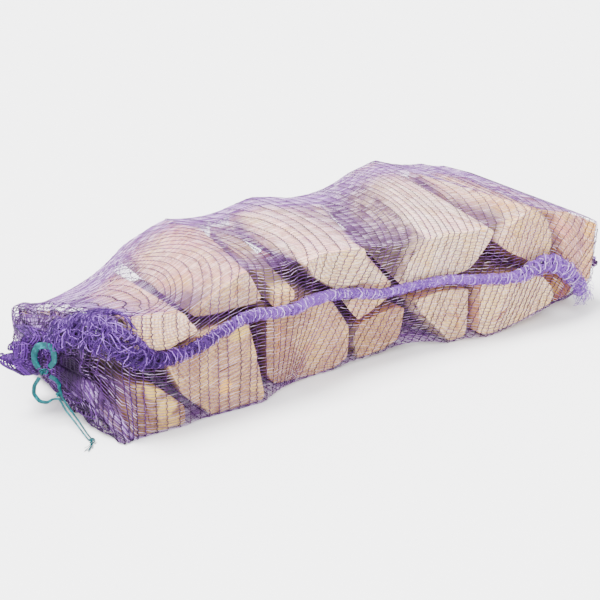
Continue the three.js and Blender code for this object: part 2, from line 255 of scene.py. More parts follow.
def strands(paths, normals, radii, sides, closed=False, flat=1.0):
    # Many tubes at once: a ring's corner at angle w is path + radius (cos w side + flat sin w normal).
    # paths and normals are paths x points x 3, and radii is one number or paths x points.
    count, length, _ = paths.shape
    if closed:
        along = unit(np.roll(paths, -1, axis=1) - np.roll(paths, 1, axis=1))
        one = gridFaces(length + 1, sides) % (length * sides)
    else:
        along = unit(np.gradient(paths, axis=1))
        one = tubeFaces(length, sides)
    side = unit(np.cross(along, normals))
    upright = np.cross(side, along)
    angles = tau * np.arange(sides) / sides
    across, above = np.cos(angles)[:, None], flat * np.sin(angles)[:, None]
    radii = np.broadcast_to(np.asarray(radii, float), (count, length))[..., None, None]
    rings = paths[:, :, None] + radii * (across * side[:, :, None] + above * upright[:, :, None])
    faces = (one[None] + (np.arange(count) * length * sides)[:, None, None]).reshape(-1, 3)
    return rings.reshape(-1, 3), faces


def softNoise(x, y, seed):
    # value noise from 0 to 1: random numbers at whole x and y, blended smoothly between
    table = np.random.default_rng(seed).random(4096)
    x0, y0 = np.floor(x).astype(int), np.floor(y).astype(int)
    fx, fy = smoothstep(0, 1, x - x0), smoothstep(0, 1, y - y0)

    def at(dx, dy):
        return table[((x0 + dx) * 73 + (y0 + dy) * 911) % table.size]

    low = at(0, 0) * (1 - fx) + at(1, 0) * fx
    high = at(0, 1) * (1 - fx) + at(1, 1) * fx
    return low * (1 - fy) + high * fy


def smoothRoute(points, count, roundness=1.0):
    # A curve through given points: cubic pieces whose slope at a point is roundness times half the way
    # between its neighbours.
    points = np.asarray(points, float)
    before, after = 2 * points[0] - points[1], 2 * points[-1] - points[-2]
    padded = np.vstack([before, points, after])
    place = np.linspace(0, len(points) - 1, count)
    i = np.minimum(place.astype(int), len(points) - 2)
    t = (place - i)[:, None]
    p0, p1, p2, p3 = padded[i], padded[i + 1], padded[i + 2], padded[i + 3]
    slope1, slope2 = 0.5 * roundness * (p2 - p0), 0.5 * roundness * (p3 - p1)
    bend = 3 * (p2 - p1) - 2 * slope1 - slope2
    return p1 + slope1 * t + bend * t**2 + (slope1 + slope2 - 2 * (p2 - p1)) * t**3


def nearestFace(clear, angles, turn):
    # r(turn) of an outline of flat faces, each of them clear of the middle by so much in its direction: the
    # nearest face along that ray. Faces that the ray meets at a grazing angle don't count.
    grazing = 0.05
    facing = np.cos(turn[:, None] - angles)
    facing = np.where(facing > grazing, facing, np.nan)
    return np.nanmin(clear[..., None, :] / facing, axis=-1)


def middleOf(reaches):
    # the middle of an outline that reaches so far in evenly turned directions
    quarter = reaches.shape[1] // 4
    right, top, left, bottom = (reaches[:, k * quarter] for k in range(4))
    return np.stack([right - left, top - bottom], -1) / 2


def blended(table, row, column):
    # bilinear between a table's cells, whose last column meets its first
    i, j = row.astype(int), np.floor(column).astype(int)
    s, t = row - i, column - j
    if table.ndim == 3:
        s, t = s[..., None], t[..., None]
    j, following = j % table.shape[1], (j + 1) % table.shape[1]
    low = table[i, j] * (1 - t) + table[i, following] * t
    high = table[i + 1, j] * (1 - t) + table[i + 1, following] * t
    return low * (1 - s) + high * s


# Logs

logShape = {
    "directions": 180,  # in which a log's flat faces are measured
    "around": 108,
    "along": 22,
    "capRings": 6,
    "barkRim": 0.003,
    "barkFade": 14,  # degrees from bark to bare wood
    "bevel": 0.0007,
    "paintedShade": (0.008, 0.036),  # how deep under the net painted shade starts to darken the wood, and where it is darkest
    "sawMarks": 0.0004,
    "sharp": 38,  # degrees
    # what cuts into the sides: millimetres deep, metres long across the grain and along it, and a seed
    "torn": ((1.3, 0.016, 0.16, 0), (0.7, 0.007, 0.09, 1)),
    "furrow": ((1.2, 0.006, 0.02, 2), (0.6, 0.013, 0.05, 3)),
}
crackShape = {
    "rows": 11,
    "depth": 0.016,
    "before": 0.002,  # from the wedge's mouth to the log's end
    "mouth": 1.12,  # how wide it is there, as a share of the crack's width
    "wander": ((0.0035, 5, 9), (0.0012, 11, 8)),  # metres aside, waves along the crack, and a seed
}

# bark: the side that it covers, in degrees from +X towards +Z, and how far it spreads. face and end: the
# colours of a split face and of a cut end. yellow: how much of it is stained yellowish. deep: how dark its
# painted shade grows deep in the stack. crack: its two ends on the front end as x and z, and its width, in
# millimetres. spots: (x, y, z), radius, colour.
lookColumns = ("bark", "spread", "face", "end", "yellow", "deep", "crack", "spots")
olive, honey, umber = (214, 180, 84), (232, 176, 74), (92, 56, 40)
logTable = {
    "log_bottom_1": (
        265, 30, (128, 92, 70), (134, 104, 76), 0.5, 0.95,
        ((30, 8), (22, 60), 1.2), (((34, 0, 56), 14, olive), ((50, 0, 30), 13, olive)),
    ),
    "log_bottom_2": (
        250, 25, (190, 156, 118), (182, 148, 112), 0.35, 0.9,
        ((118, 52), (156, 60), 2.2), (((150, 0, 94), 12, olive), ((130, 0, 30), 12, honey)),
    ),
    "log_bottom_3": (
        48, 26, (206, 158, 104), (200, 162, 122), 0.3, 0.9,
        ((222, 84), (217, 36), 1.4), (((262, 0, 40), 16, (226, 150, 96)),),
    ),
    "log_bottom_4": (
        200, 40, (168, 118, 72), (186, 148, 108), 0.2, 0.9,
        ((370, 10), (376, 52), 1), (((352, 0, 30), 16, umber),),
    ),
    "log_bottom_5": (
        212, 34, (204, 164, 114), (218, 190, 150), 0.35, 0.95,
        ((488, 14), (486, 56), 0.9), (),
    ),
    "log_bottom_6": (
        345, 34, (214, 172, 122), (226, 200, 160), 0.3, 0.8,
        ((543, 18), (562, 34), 2.8), (((553, 0, 26), 8, umber), ((538, 0, 74), 9, (178, 116, 80))),
    ),
    "log_bottom_7": (
        60, 20, (150, 92, 50), (178, 112, 58), 0.3, 0.6,
        ((682, 10), (700, 28), 1), (((690, 60, 24), 12, honey),),
    ),
    "log_top_1": (
        190, 34, (228, 184, 150), (250, 218, 184), 0.4, 0.9,
        ((20, 112), (44, 122), 0.9), (((61, 95, 118), 11, honey),),
    ),
    "log_top_2": (
        272, 30, (230, 188, 156), (230, 202, 170), 0.35, 0.85,
        ((150, 118), (168, 146), 1.1), (((127, 120, 130), 16, honey), ((100, 200, 140), 18, honey)),
    ),
    "log_top_3": (
        250, 30, (236, 204, 142), (232, 192, 134), 0.7, 0.9,
        ((206, 108), (212, 130), 1), (((188, 10, 138), 15, honey),),
    ),
    "log_top_4": (
        240, 36, (252, 224, 196), (234, 210, 172), 0.3, 0.85,
        ((290, 124), (312, 144), 0.8), (((330, 0, 118), 10, olive),),
    ),
    "log_top_5": (
        30, 24, (212, 190, 160), (210, 174, 132), 0.3, 0.15,
        ((348, 84), (370, 97), 1), (((448, 124, 130), 14, olive), ((420, 210, 140), 18, honey)),
    ),
    "log_top_6": (
        140, 26, (255, 232, 206), (248, 226, 196), 0.35, 0.85,
        ((450, 104), (498, 127), 0.9), (((528, 47, 150), 10, honey), ((561, 229, 160), 12, umber)),
    ),
    "log_top_7": (
        12, 46, (238, 206, 172), (228, 194, 152), 0.4, 0.85,
        ((586, 112), (614, 131), 1), (((592, 67, 150), 14, honey),),
    ),
    "log_top_8": (
        350, 30, (222, 176, 138), (226, 178, 138), 0.4, 0.7,
        ((680, 80), (699, 118), 1.1), (((704, 13, 118), 16, honey), ((660, 0, 120), 16, (226, 150, 120))),
    ),
}
logLooks = {name: dict(zip(lookColumns, row)) for name, row in logTable.items()}


def cornersOf(name):
    mesh = frame["nodes"][name].data
    points = np.empty(len(mesh.vertices) * 3, np.float32)
    mesh.vertices.foreach_get("co", points)
    return np.unique(points.reshape(-1, 3).round(5), axis=0).astype(float)


def logRings(corners, seed, look):
    # A log's side: at share t of its length, a flat face lies as far out in each direction as (1 - t) front
    # outline + t back outline. Ridges of torn fibre, or bark furrows, then cut in by up to 2 mm.
    low, high = corners[:, 1].min(), corners[:, 1].max()
    angles = tau * np.arange(logShape["directions"]) / logShape["directions"]
    directions = np.stack([np.cos(angles), np.sin(angles)])
    front, back = (
        (corners[np.abs(corners[:, 1] - end) < 0.0005][:, [0, 2]] @ directions).max(axis=0)
        for end in (low, high)
    )
    turn = tau * np.arange(logShape["around"]) / logShape["around"]
    shares = np.linspace(0, 1, logShape["along"])
    reach = front[None] * (1 - shares)[:, None] + back[None] * shares[:, None]
    middle = middleOf(reach)
    radius = nearestFace(reach - middle @ directions, angles, turn)
    for shift in (1, -1):
        radius = np.minimum(radius, 0.5 * radius + 0.5 * np.roll(radius, shift, axis=1))
    ray = np.stack([np.cos(turn), np.sin(turn)], -1)
    edge = middle[:, None] + radius[..., None] * ray[None]
    tangent = np.roll(edge, -1, axis=1) - np.roll(edge, 1, axis=1)
    normalAngle = np.degrees(np.arctan2(-tangent[..., 0], tangent[..., 1]))
    away = np.abs((normalAngle - look["bark"] + 180) % 360 - 180)
    bark = 1 - smoothstep(look["spread"], look["spread"] + logShape["barkFade"], away)
    around = np.cumsum(np.linalg.norm(tangent, axis=-1) / 2, axis=1)
    depth = low + shares * (high - low)
    y = np.broadcast_to(depth[:, None], radius.shape)

    def relief(noises):
        return sum(
            height * softNoise(around / across, y / along, seed + more)
            for height, across, along, more in noises
        )

    cuts = relief(logShape["torn"]) * (1 - bark) + relief(logShape["furrow"]) * bark
    radius = radius - cuts / 1000
    return middle, radius, ray, depth, bark


def makeLog(name, seed, drape):
    look = logLooks[name]
    middle, radius, ray, depth, bark = logRings(cornersOf(name), seed, look)
    count = len(ray)
    rows, cut, barkRows = [], [], []

    def addRow(index, scale, y, isCut, barkHere):
        flat = middle[index] + (radius[index] * scale)[:, None] * ray
        rows.append(np.stack([flat[:, 0], np.broadcast_to(y, count), flat[:, 1]], -1))
        cut.append(np.full(count, isCut))
        barkRows.append(barkHere)

    rim, bevel = 1 - logShape["barkRim"] / radius, 1 - logShape["bevel"] / radius
    scales = np.linspace(0.1, 1, logShape["capRings"])
    bare = np.zeros(count)
    turn = np.arange(count)
    sawMarks = logShape["sawMarks"] * softNoise(turn / 9, turn / 5, seed + 5)
    for scale in scales:
        addRow(0, rim[0] * scale, depth[0] + sawMarks * (scale < 1), 1.0, bare)
    addRow(0, bevel[0], depth[0], 1.0, bark[0])
    for index, y in enumerate(depth):
        inner = logShape["bevel"] * ((index == 0) - (index == len(depth) - 1))
        addRow(index, np.ones(count), y + inner, 0.0, bark[index])
    addRow(-1, bevel[-1], depth[-1], 1.0, bark[-1])
    for scale in scales[::-1]:
        addRow(-1, rim[-1] * scale, depth[-1] - sawMarks * (scale < 1), 1.0, bare)
    points, faces = capped(np.array(rows))
    piece = makePiece(name + "_wood", points, faces, woodPaint(name, look, middle), slotOf(name), [name])
    giveAttribute(piece, "cut", np.append(np.concatenate(cut), [1, 1]))
    giveAttribute(piece, "bark", np.append(np.concatenate(barkRows), [0, 0]))
    # painted shade: the deeper a point lies under the net, the darker it is painted
    giveAttribute(piece, "paintedShade", look["deep"] * smoothstep(*logShape["paintedShade"], drape.over(points)))
    splitOpen(piece, *crackWedge(look["crack"], points[:, 1].min(), seed))


def crackWedge(crack, front, seed):
    # A crack's wedge: at share t of its wandering line it is width sqrt(sin(pi t)) wide on the front end, and
    # its bottom lies depth sqrt(sin(pi t)) deep.
    start, end = (placed((x, 0, z))[[0, 2]] for x, z in crack[:2])
    rows = crackShape["rows"]
    t = np.linspace(0, 1, rows)
    gape = np.sqrt(np.maximum(np.sin(math.pi * t), 0.003))
    way = end - start
    across = unit(np.array([-way[1], way[0]]))
    wander = sum(
        aside * (softNoise(t * waves, t * 0, seed + more) - 0.5)
        for aside, waves, more in crackShape["wander"]
    )
    line = start + way * t[:, None] + wander[:, None] * across
    half = (crack[2] / 2000 * gape * (0.5 + softNoise(t * 9, t * 0, seed + 10)))[:, None] * across
    mouth, bottom = np.full(rows, front - crackShape["before"]), front + crackShape["depth"] * gape
    wide = half * crackShape["mouth"]
    lips = ((line + wide, mouth), (line - wide, mouth), (line, bottom))
    points = np.stack([np.stack([flat[:, 0], y, flat[:, 1]], -1) for flat, y in lips], 1).reshape(-1, 3)
    return points, outwardFaces(points, tubeFaces(rows, 3))


def splitOpen(piece, points, faces):
    # takes the wedge out of the piece and leaves its sides dark with painted shade
    mesh = bpy.data.meshes.new("wedge")
    mesh.from_pydata(points.tolist(), [], faces.tolist())
    mesh.materials.append(piece.data.materials[0])
    wedge = bpy.data.objects.new("wedge", mesh)
    bpy.context.scene.collection.objects.link(wedge)
    # painted shade fills the crack's sides
    for name, value in (("cut", 0), ("bark", 0), ("paintedShade", 1)):
        giveAttribute(wedge, name, np.full(len(points), value))
    modifier = piece.modifiers.new("crack", "BOOLEAN")
    modifier.object = wedge
    modifier.solver = "EXACT"
    carved = bpy.data.meshes.new_from_object(piece.evaluated_get(bpy.context.evaluated_depsgraph_get()))
    piece.modifiers.clear()
    carved.name = piece.name
    piece.data = carved
    piece.data.set_sharp_from_angle(angle=math.radians(logShape["sharp"]))
    bpy.data.objects.remove(wedge)


def slotOf(node):
    return next(part["material_slot"] for part in frame["record"]["subparts"] if part["node"] == node)


barkColours = {"pale": (176, 150, 124), "brown": (92, 66, 48), "marks": (44, 30, 26)}
# painted shade: what a log is darkened towards deep in the stack, for its split faces, cut ends and bark
paintedShadeColours = {"wood": (52, 30, 26), "end": (96, 62, 40), "bark": (40, 26, 24)}
woodShade = {
    "brownFace": (0.72, 0.58, 0.44),
    "pinkFace": (1.02, 0.86, 0.84),
    "brownEnd": (0.74, 0.6, 0.46),
    "yellow": (236, 196, 106),
    "pithBehind": 0.045,  # from a log's middle, away from its bark
    "ringWidth": 4.6,  # in millimetres
}


def woodPaint(name, look, middle):
    # Split faces: long fibres along the log. Cut ends: growth rings round the pith, and specks. Bark: pale,
    # with brown scales and darker cross marks.
    paint = Paint(name)
    cut, bark, paintedShade = (paint.attribute(kind) for kind in ("cut", "bark", "paintedShade"))
    brown, pink = shaded(look["face"], woodShade["brownFace"]), shaded(look["face"], woodShade["pinkFace"])
    endBrown, yellow = shaded(look["end"], woodShade["brownEnd"]), tint(*woodShade["yellow"])
    fibre = paint.noise((300, 7, 300), 5, 0.75)
    band = paint.noise((95, 4, 95), 3)
    patch = paint.noise((30, 14, 30), 3)
    blotch = paint.noise((52, 34, 52), 4, 0.65)
    wood = paint.mix(fibre.step(0.44, 0.6) * 0.85, tint(*look["face"]), brown)
    wood = paint.mix(band.step(0.45, 0.62) * 0.6, wood, pink)
    wood = paint.mix(blotch.step(0.56, 0.68) * 0.6, wood, brown)
    wood = paint.mix(patch.step(0.53, 0.62) * look["yellow"], wood, yellow)

    side = math.radians(look["bark"])
    pith = middle[0] - woodShade["pithBehind"] * np.array([math.cos(side), math.sin(side)])
    wander = paint.noise((30, 30, 30), 2)
    fromPith = paint.away((1, 0, 1), (pith[0], 0, pith[1]))
    rings = ((fromPith * 1000 + wander * 12) * (tau / woodShade["ringWidth"])).sine()
    speck = paint.noise((340, 340, 340), 4, 0.8)
    sawn = paint.mix(rings.step(-0.2, 1.0) * 0.62, tint(*look["end"]), endBrown)
    sawn = paint.mix(speck.step(0.47, 0.6) * 0.75, sawn, endBrown)
    sawn = paint.mix(patch.step(0.5, 0.6) * look["yellow"], sawn, yellow)
    sawn = paint.mix(blotch.step(0.55, 0.7) * 0.6, sawn, endBrown)

    stretch = (1, 0.4, 1)  # stains run along the grain
    for centre, radius, colour in look["spots"]:
        far = paint.away(stretch, placed(centre) * stretch)
        stain = 1 - (far + (blotch - 0.5) * 0.03).step(radius / 1800, radius / 1000)
        wood = paint.mix(stain * 0.75, wood, tint(*colour))
        sawn = paint.mix(stain * 0.75, sawn, tint(*colour))

    scale = paint.noise((110, 34, 110), 5, 0.65)
    dash = paint.noise((26, 420, 26), 2)
    pale, umberBark, marks = (tint(*barkColours[kind]) for kind in ("pale", "brown", "marks"))
    rind = paint.mix(dash.step(0.6, 0.66), paint.mix(scale.step(0.4, 0.62), pale, umberBark), marks)

    # painted shade: sides that lie deep in the stack, and the cracks' sides, are darkened as if in shadow
    wood = paint.mix(paintedShade, wood, tint(*paintedShadeColours["wood"]))
    sawn = paint.mix(paintedShade * 0.7, sawn, tint(*paintedShadeColours["end"]))
    rind = paint.mix(paintedShade, rind, tint(*paintedShadeColours["bark"]))
    colour = paint.mix(bark, paint.mix(cut, wood, sawn), rind)
    height = fibre * (1 - cut) * (1 - bark) + (speck * 0.5 + rings * 0.15) * cut + scale * bark * 2.0
    paint.set(Base_Color=colour, Roughness=0.8 + blotch * 0.1, Normal=paint.bump(height, 0.0014))
    return paint.material


def makeLogs(drape):
    for i, name in enumerate(logLooks):
        makeLog(name, 40 + 7 * i, drape)


# Net sack: the surface that the net lies on

sackPlan = {
    "clear": 0.0011,  # from the logs to the middle of the net's threads
    "step": 0.002,  # between two cross-sections
    "directions": 120,
    "rays": 720,
    "bridge": 0.085,  # the widest hollow that the net spans
    "sag": 0.05,  # share of a span by which the net hangs into it
    "columns": 480,
    "bodyFrom": 18,  # x at which the body ends and the mouth's panel starts
    "mouthTo": 62,  # x up to which the net is pulled towards the neck
    "pull": (0.66, 1.0),  # shares of the way to the neck between which the net takes its shape
    "neck": (-40, 124, 66),
    "neckAxis": (-0.68, 0.68, 0.18),
    "neckRadius": 0.0105,
    "seamAtNeck": 130,  # degrees, from the back towards the top
    "closing": {"x": 732, "centre": (0, 168, 60), "y": (24, 312), "half": 0.003, "from": 660},
}
# the seam's route along the front, from the corner to the closed end's foot: x and z
seamRoute = [
    (-8, 110), (0, 108), (11, 102), (28, 94), (50, 90), (73, 92), (96, 98), (122, 105), (148, 111),
    (172, 114), (205, 110), (243, 111), (276, 108), (300, 106), (336, 98), (364, 91), (398, 92), (434, 93),
    (467, 91), (506, 85), (545, 79), (580, 78), (600, 85), (622, 88), (639, 82), (654, 73), (670, 59),
    (684, 46), (694, 32), (710, 28), (732, 34),
]


def seamHeight(x):
    route = np.array(seamRoute, float)
    return np.interp(drawnX(x), route[:, 0], route[:, 1]) / 1000 + drawnOrigin[2]


def logEdges():
    # every line between two corners of one log, left end first
    starts, ends = [], []
    for name in logLooks:
        corners = cornersOf(name)
        i, j = np.triu_indices(len(corners), 1)
        a, b = corners[i], corners[j]
        swap = (a[:, 0] > b[:, 0])[:, None]
        starts.append(np.where(swap, b, a))
        ends.append(np.where(swap, a, b))
    return np.concatenate(starts), np.concatenate(ends)


def sectionReaches(stations, directions):
    # how far the logs reach in each direction where each plane across X cuts them
    starts, ends = logEdges()
    reaches = np.full((len(stations), directions.shape[1]), -1.0)
    for i, x in enumerate(stations):
        crossed = (starts[:, 0] <= x) & (ends[:, 0] >= x)
        if crossed.any():
            a, b = starts[crossed], ends[crossed]
            share = (x - a[:, :1]) / np.maximum(b[:, :1] - a[:, :1], 1e-9)
            reaches[i] = ((a[:, 1:] + share * (b[:, 1:] - a[:, 1:])) @ directions).max(axis=0)
    return np.maximum(reaches, np.maximum(np.roll(reaches, 1, axis=0), np.roll(reaches, -1, axis=0)))


def bridged(heights, longest, sag):
    # Raises every row to the straight lines between rows up to longest apart, less a sag of
    # 4 sag t (1 - t) spans at share t of a span.
    best = heights.copy()
    for span in range(2, longest + 1):
        for inside in range(1, span):
            t = inside / span
            chord = heights[:-span] * (1 - t) + heights[span:] * t
            chord = chord - 4 * sag * t * (1 - t) * span * sackPlan["step"]
            part = best[inside : inside + len(chord)]
            np.maximum(part, chord, out=part)
    return best


def polarOutline(reaches, centre, directions, turn):
    # r(turn) of a cross-section about a centre
    angles = np.arctan2(directions[1], directions[0])
    return np.maximum(nearestFace(reaches - centre @ directions, angles, turn), 0)


def lengthsAlong(line):
    return np.append(0, np.cumsum(np.linalg.norm(np.diff(line, axis=0), axis=1)))


def evenly(ring, start, columns):
    # the same closed outline with its points at equal lengths, from one place on it
    ring = np.roll(ring, -start, axis=0)
    closed = np.vstack([ring, ring[:1]])
    lengths = lengthsAlong(closed)
    wanted = np.linspace(0, lengths[-1], columns, endpoint=False)
    return np.stack([np.interp(wanted, lengths, closed[:, k]) for k in range(3)], -1)


def taperedEnd(stations, outlines, endRadius):
    # Draws a heightfield r(x, angle) in to endRadius at its last row, as a net pulled tight over what stands
    # there.
    rows = np.vstack([outlines, endRadius[None]])
    where = np.append(stations, stations[-1] + np.sign(stations[-1] - stations[0]) * sackPlan["step"])
    best = rows.copy()
    for a in range(len(rows)):
        for b in range(a + 2, len(rows)):
            t = ((where[a + 1 : b] - where[a]) / (where[b] - where[a]))[:, None]
            part = best[a + 1 : b]
            np.maximum(part, rows[a] * (1 - t) + rows[b] * t, out=part)
    return where, best


def sackOutlines():
    # In each plane across X: a centre and r(turn) of the net about it. The mouth's end is pulled straight
    # from the logs' rim to the neck, and the closed end to a straight seam, whose plane comes last.
    plan, closing = sackPlan, sackPlan["closing"]
    angles = tau * np.arange(plan["directions"]) / plan["directions"]
    directions = np.stack([np.cos(angles), np.sin(angles)])
    turn = math.pi - tau * np.arange(plan["rays"]) / plan["rays"]
    stations = np.arange(placed(plan["neck"])[0], placed((closing["x"], 0, 0))[0], plan["step"])
    longest = round(plan["bridge"] / plan["step"])
    reaches = bridged(sectionReaches(stations, directions) + plan["clear"], longest, plan["sag"])
    left = np.flatnonzero(drawnX(stations) < plan["mouthTo"])[::-1]
    right = np.flatnonzero(drawnX(stations) > closing["from"])
    centres = middleOf(reaches)
    centres[left] = placed(plan["neck"])[1:]
    centres[right] = placed(closing["centre"])[1:]
    radius = np.array([polarOutline(*pair, directions, turn) for pair in zip(reaches, centres)])
    _, pulled = taperedEnd(stations[left], radius[left], np.full(len(turn), plan["neckRadius"]))
    radius[left] = pulled[:-1]
    halfLength = (closing["y"][1] - closing["y"][0]) / 2000
    seam = closing["half"] / np.maximum(np.abs(np.sin(turn)), closing["half"] / halfLength)
    where, pulled = taperedEnd(stations[right], radius[right], seam)
    radius = np.concatenate([radius[: right[0]], pulled])
    return np.append(stations, where[-1]), np.vstack([centres, centres[-1:]]), radius, turn


def seamStart(ring, x):
    # which point of a ring lies at the seam's height, counted up or down from its start on the front
    height = seamHeight(x)
    upwards = ring[0, 2] < height
    onFront = 150
    nearest = np.argmin(np.abs((ring if upwards else ring[::-1])[:onFront, 2] - height))
    return nearest if upwards else -nearest - 1


def sackRings():
    # Rings of the net's surface from the ruffle's rim to the closed end, each starting at the seam and going
    # up over the top: rings x columns x 3.
    plan, columns = sackPlan, sackPlan["columns"]
    stations, centres, radius, turn = sackOutlines()
    drawn = drawnX(stations)
    x = np.broadcast_to(stations[:, None], radius.shape)
    y, z = centres[:, :1] + radius * np.cos(turn), centres[:, 1:] + radius * np.sin(turn)
    full = np.stack([x, y, z], -1)
    body = [
        evenly(ring, seamStart(ring, ring[0, 0]), columns)
        for ring in full[:-1][drawn[:-1] >= plan["bodyFrom"]]
    ]
    body = np.array(body + [evenly(full[-1], 0, columns)])

    # between body and neck, each column turns from its place on the logs' rim to its share of the neck
    axis = placed(plan["neck"])
    rimAngle = np.unwrap(np.arctan2(body[0][:, 2] - axis[2], body[0][:, 1] - axis[1]))
    neckAngle = math.radians(plan["seamAtNeck"]) - tau * np.arange(columns) / columns
    neckAngle += tau * round((rimAngle.mean() - neckAngle.mean()) / tau)
    neck = mouthRings(neckAngle)
    panel = []
    for i in np.flatnonzero(drawn < plan["bodyFrom"])[::-1]:
        share = (plan["bodyFrom"] - drawn[i]) / (plan["bodyFrom"] - plan["neck"][0])
        angle = rimAngle + (neckAngle - rimAngle) * smoothstep(0, 1, share)
        place = ((math.pi - angle) % tau) / tau * plan["rays"]
        low = place.astype(int)
        part = place - low
        here = radius[i][low % plan["rays"]] * (1 - part) + radius[i][(low + 1) % plan["rays"]] * part
        here = gathered(angle, here, share)
        y, z = axis[1] + here * np.cos(angle), axis[2] + here * np.sin(angle)
        point = np.stack([np.full(columns, stations[i]), y, z], -1)
        pull = smoothstep(*plan["pull"], share)
        panel.append(point * (1 - pull) + neck[0] * pull)
    mouth = folded(np.concatenate([neck[::-1], np.array(panel)[::-1][1:]]))
    return np.concatenate([mouth, body]), len(mouth), Drape(stations, centres, radius)


class Drape:
    # how deep a place lies under the net, read from the net's outlines across X
    def __init__(self, stations, centres, outlines):
        self.stations = stations
        self.centres = centres
        self.outlines = outlines

    def over(self, points):
        i = np.clip(np.searchsorted(self.stations, points[:, 0]), 0, len(self.stations) - 1)
        y, z = points[:, 1] - self.centres[i, 0], points[:, 2] - self.centres[i, 1]
        turn = ((math.pi - np.arctan2(z, y)) % tau) / tau * self.outlines.shape[1]
        return self.outlines[i, turn.astype(int) % self.outlines.shape[1]] - np.hypot(y, z)


mouthPlan = {
    # the ruffle's rings: millimetres beyond the neck, and their radius
    "beyond": (0, 4, 8, 12, 16, 20, 24, 28, 32),
    "radius": (9.5, 11.5, 14.5, 17, 19, 20, 20.5, 20, 19),
    # waves as count, height and start. What grows and ends does so between shares of the way to the neck.
    "pucker": {
        "waves": ((7, 0.34, 1.2), (12, 0.5, 4.1), (19, 0.3, 0.4)),
        "height": 0.1,
        "grows": (0.25, 0.9),
    },
    "cavity": {"angle": 171, "width": 17, "depth": 0.024, "grows": (0.12, 0.5), "ends": (0.8, 0.96)},
    "folds": 16,
    # share of the way from the ruffle's rim to the body, and how far the folds stand out there in millimetres
    "foldHeight": ((0, 6), (0.2, 5.5), (0.31, 2.6), (0.45, 6), (0.7, 6.5), (0.85, 3.5), (1, 0)),
    "crumple": 0.006,
    # the same share, and how much net lies there for each metre of outline
    "gather": ((0, 4.2), (0.3, 3.6), (0.45, 2), (0.8, 1.1), (1, 0.85)),
}


def gathered(angle, radius, share):
    # towards the neck the net puckers, and a deep cavity runs in below the seam
    cavity, pucker = mouthPlan["cavity"], mouthPlan["pucker"]
    away = np.degrees(np.abs((angle - math.radians(cavity["angle"]) + math.pi) % tau - math.pi))
    deep = np.exp(-((away / cavity["width"]) ** 2)) * smoothstep(*cavity["grows"], share)
    deep = deep * (1 - smoothstep(*cavity["ends"], share))
    waves = sum(size * np.sin(count * angle + phase) for count, size, phase in pucker["waves"])
    puckered = 1 + pucker["height"] * waves * smoothstep(*pucker["grows"], share)
    return np.maximum(radius * puckered - cavity["depth"] * deep, mouthPlan["radius"][0] / 1000)


def mouthRings(neckAngle):
    # plain rings of the ruffle along the neck's axis, from the tie outwards
    axis = unit(np.array(sackPlan["neckAxis"], float))
    up = unit(np.array([0, 0, 1.0]) - axis * axis[2])
    aside = np.cross(axis, up)
    centre = placed(sackPlan["neck"])
    rings = []
    for beyond, radius in zip(mouthPlan["beyond"], mouthPlan["radius"]):
        lift = beyond / 1000 * (1 - 0.2 * np.sin(3 * neckAngle + 1) - 0.12 * np.sin(7 * neckAngle))
        flat = np.cos(neckAngle)[:, None] * aside + np.sin(neckAngle)[:, None] * up
        rings.append(centre + lift[:, None] * axis + radius / 1000 * flat)
    return np.array(rings)


def folded(rings):
    # Folds that double back on themselves: a place moves height (1 + cos a) / 2 outwards and 0.9 height sin a
    # sideways, where a turns once for each fold. Smaller crumples lie over them.
    columns = rings.shape[1]
    around = unit(np.roll(rings, -1, axis=1) - np.roll(rings, 1, axis=1))
    outward = unit(np.cross(np.gradient(rings, axis=0), around))
    if (outward * (rings - rings.mean(axis=1, keepdims=True))).sum() < 0:
        outward = -outward
    steps = np.linalg.norm(np.diff(rings, axis=0), axis=-1).mean(axis=1)
    way = np.append(0, np.cumsum(steps))
    share, v = np.meshgrid(way / way[-1], np.arange(columns) / columns, indexing="ij")
    heights = np.array(mouthPlan["foldHeight"])
    count = mouthPlan["folds"]
    height = np.interp(share, heights[:, 0], heights[:, 1]) / 1000
    ends = smoothstep(0, 0.03, v) * smoothstep(0, 0.03, 1 - v)
    wander = 4.5 * softNoise(v * 6, share * 3, 21) + 2.5 * softNoise(v * 17, share * 7, 22)
    turn = tau * count * v + ends * wander
    height = height * (0.45 + 1.1 * softNoise(v * count + 3, share * 2.5, 23) * ends)
    moved = rings + (height * (0.5 + 0.5 * np.cos(turn)))[..., None] * outward
    moved += (0.9 * height * np.sin(turn))[..., None] * around
    loose = np.minimum(1, height / 0.004) * mouthPlan["crumple"] * ends
    metres = share * way[-1]
    moved += (loose * softNoise(v * 46, metres / 0.008, 24))[..., None] * outward
    moved += (loose * (softNoise(v * 33 + 5, metres / 0.010, 25) - 0.5))[..., None] * around
    along = np.gradient(rings, axis=0)
    moved += (loose * (softNoise(v * 39 + 9, metres / 0.012, 26) - 0.5))[..., None] * unit(along)
    moved[..., 2] = np.maximum(moved[..., 2], 0.0006)
    return moved


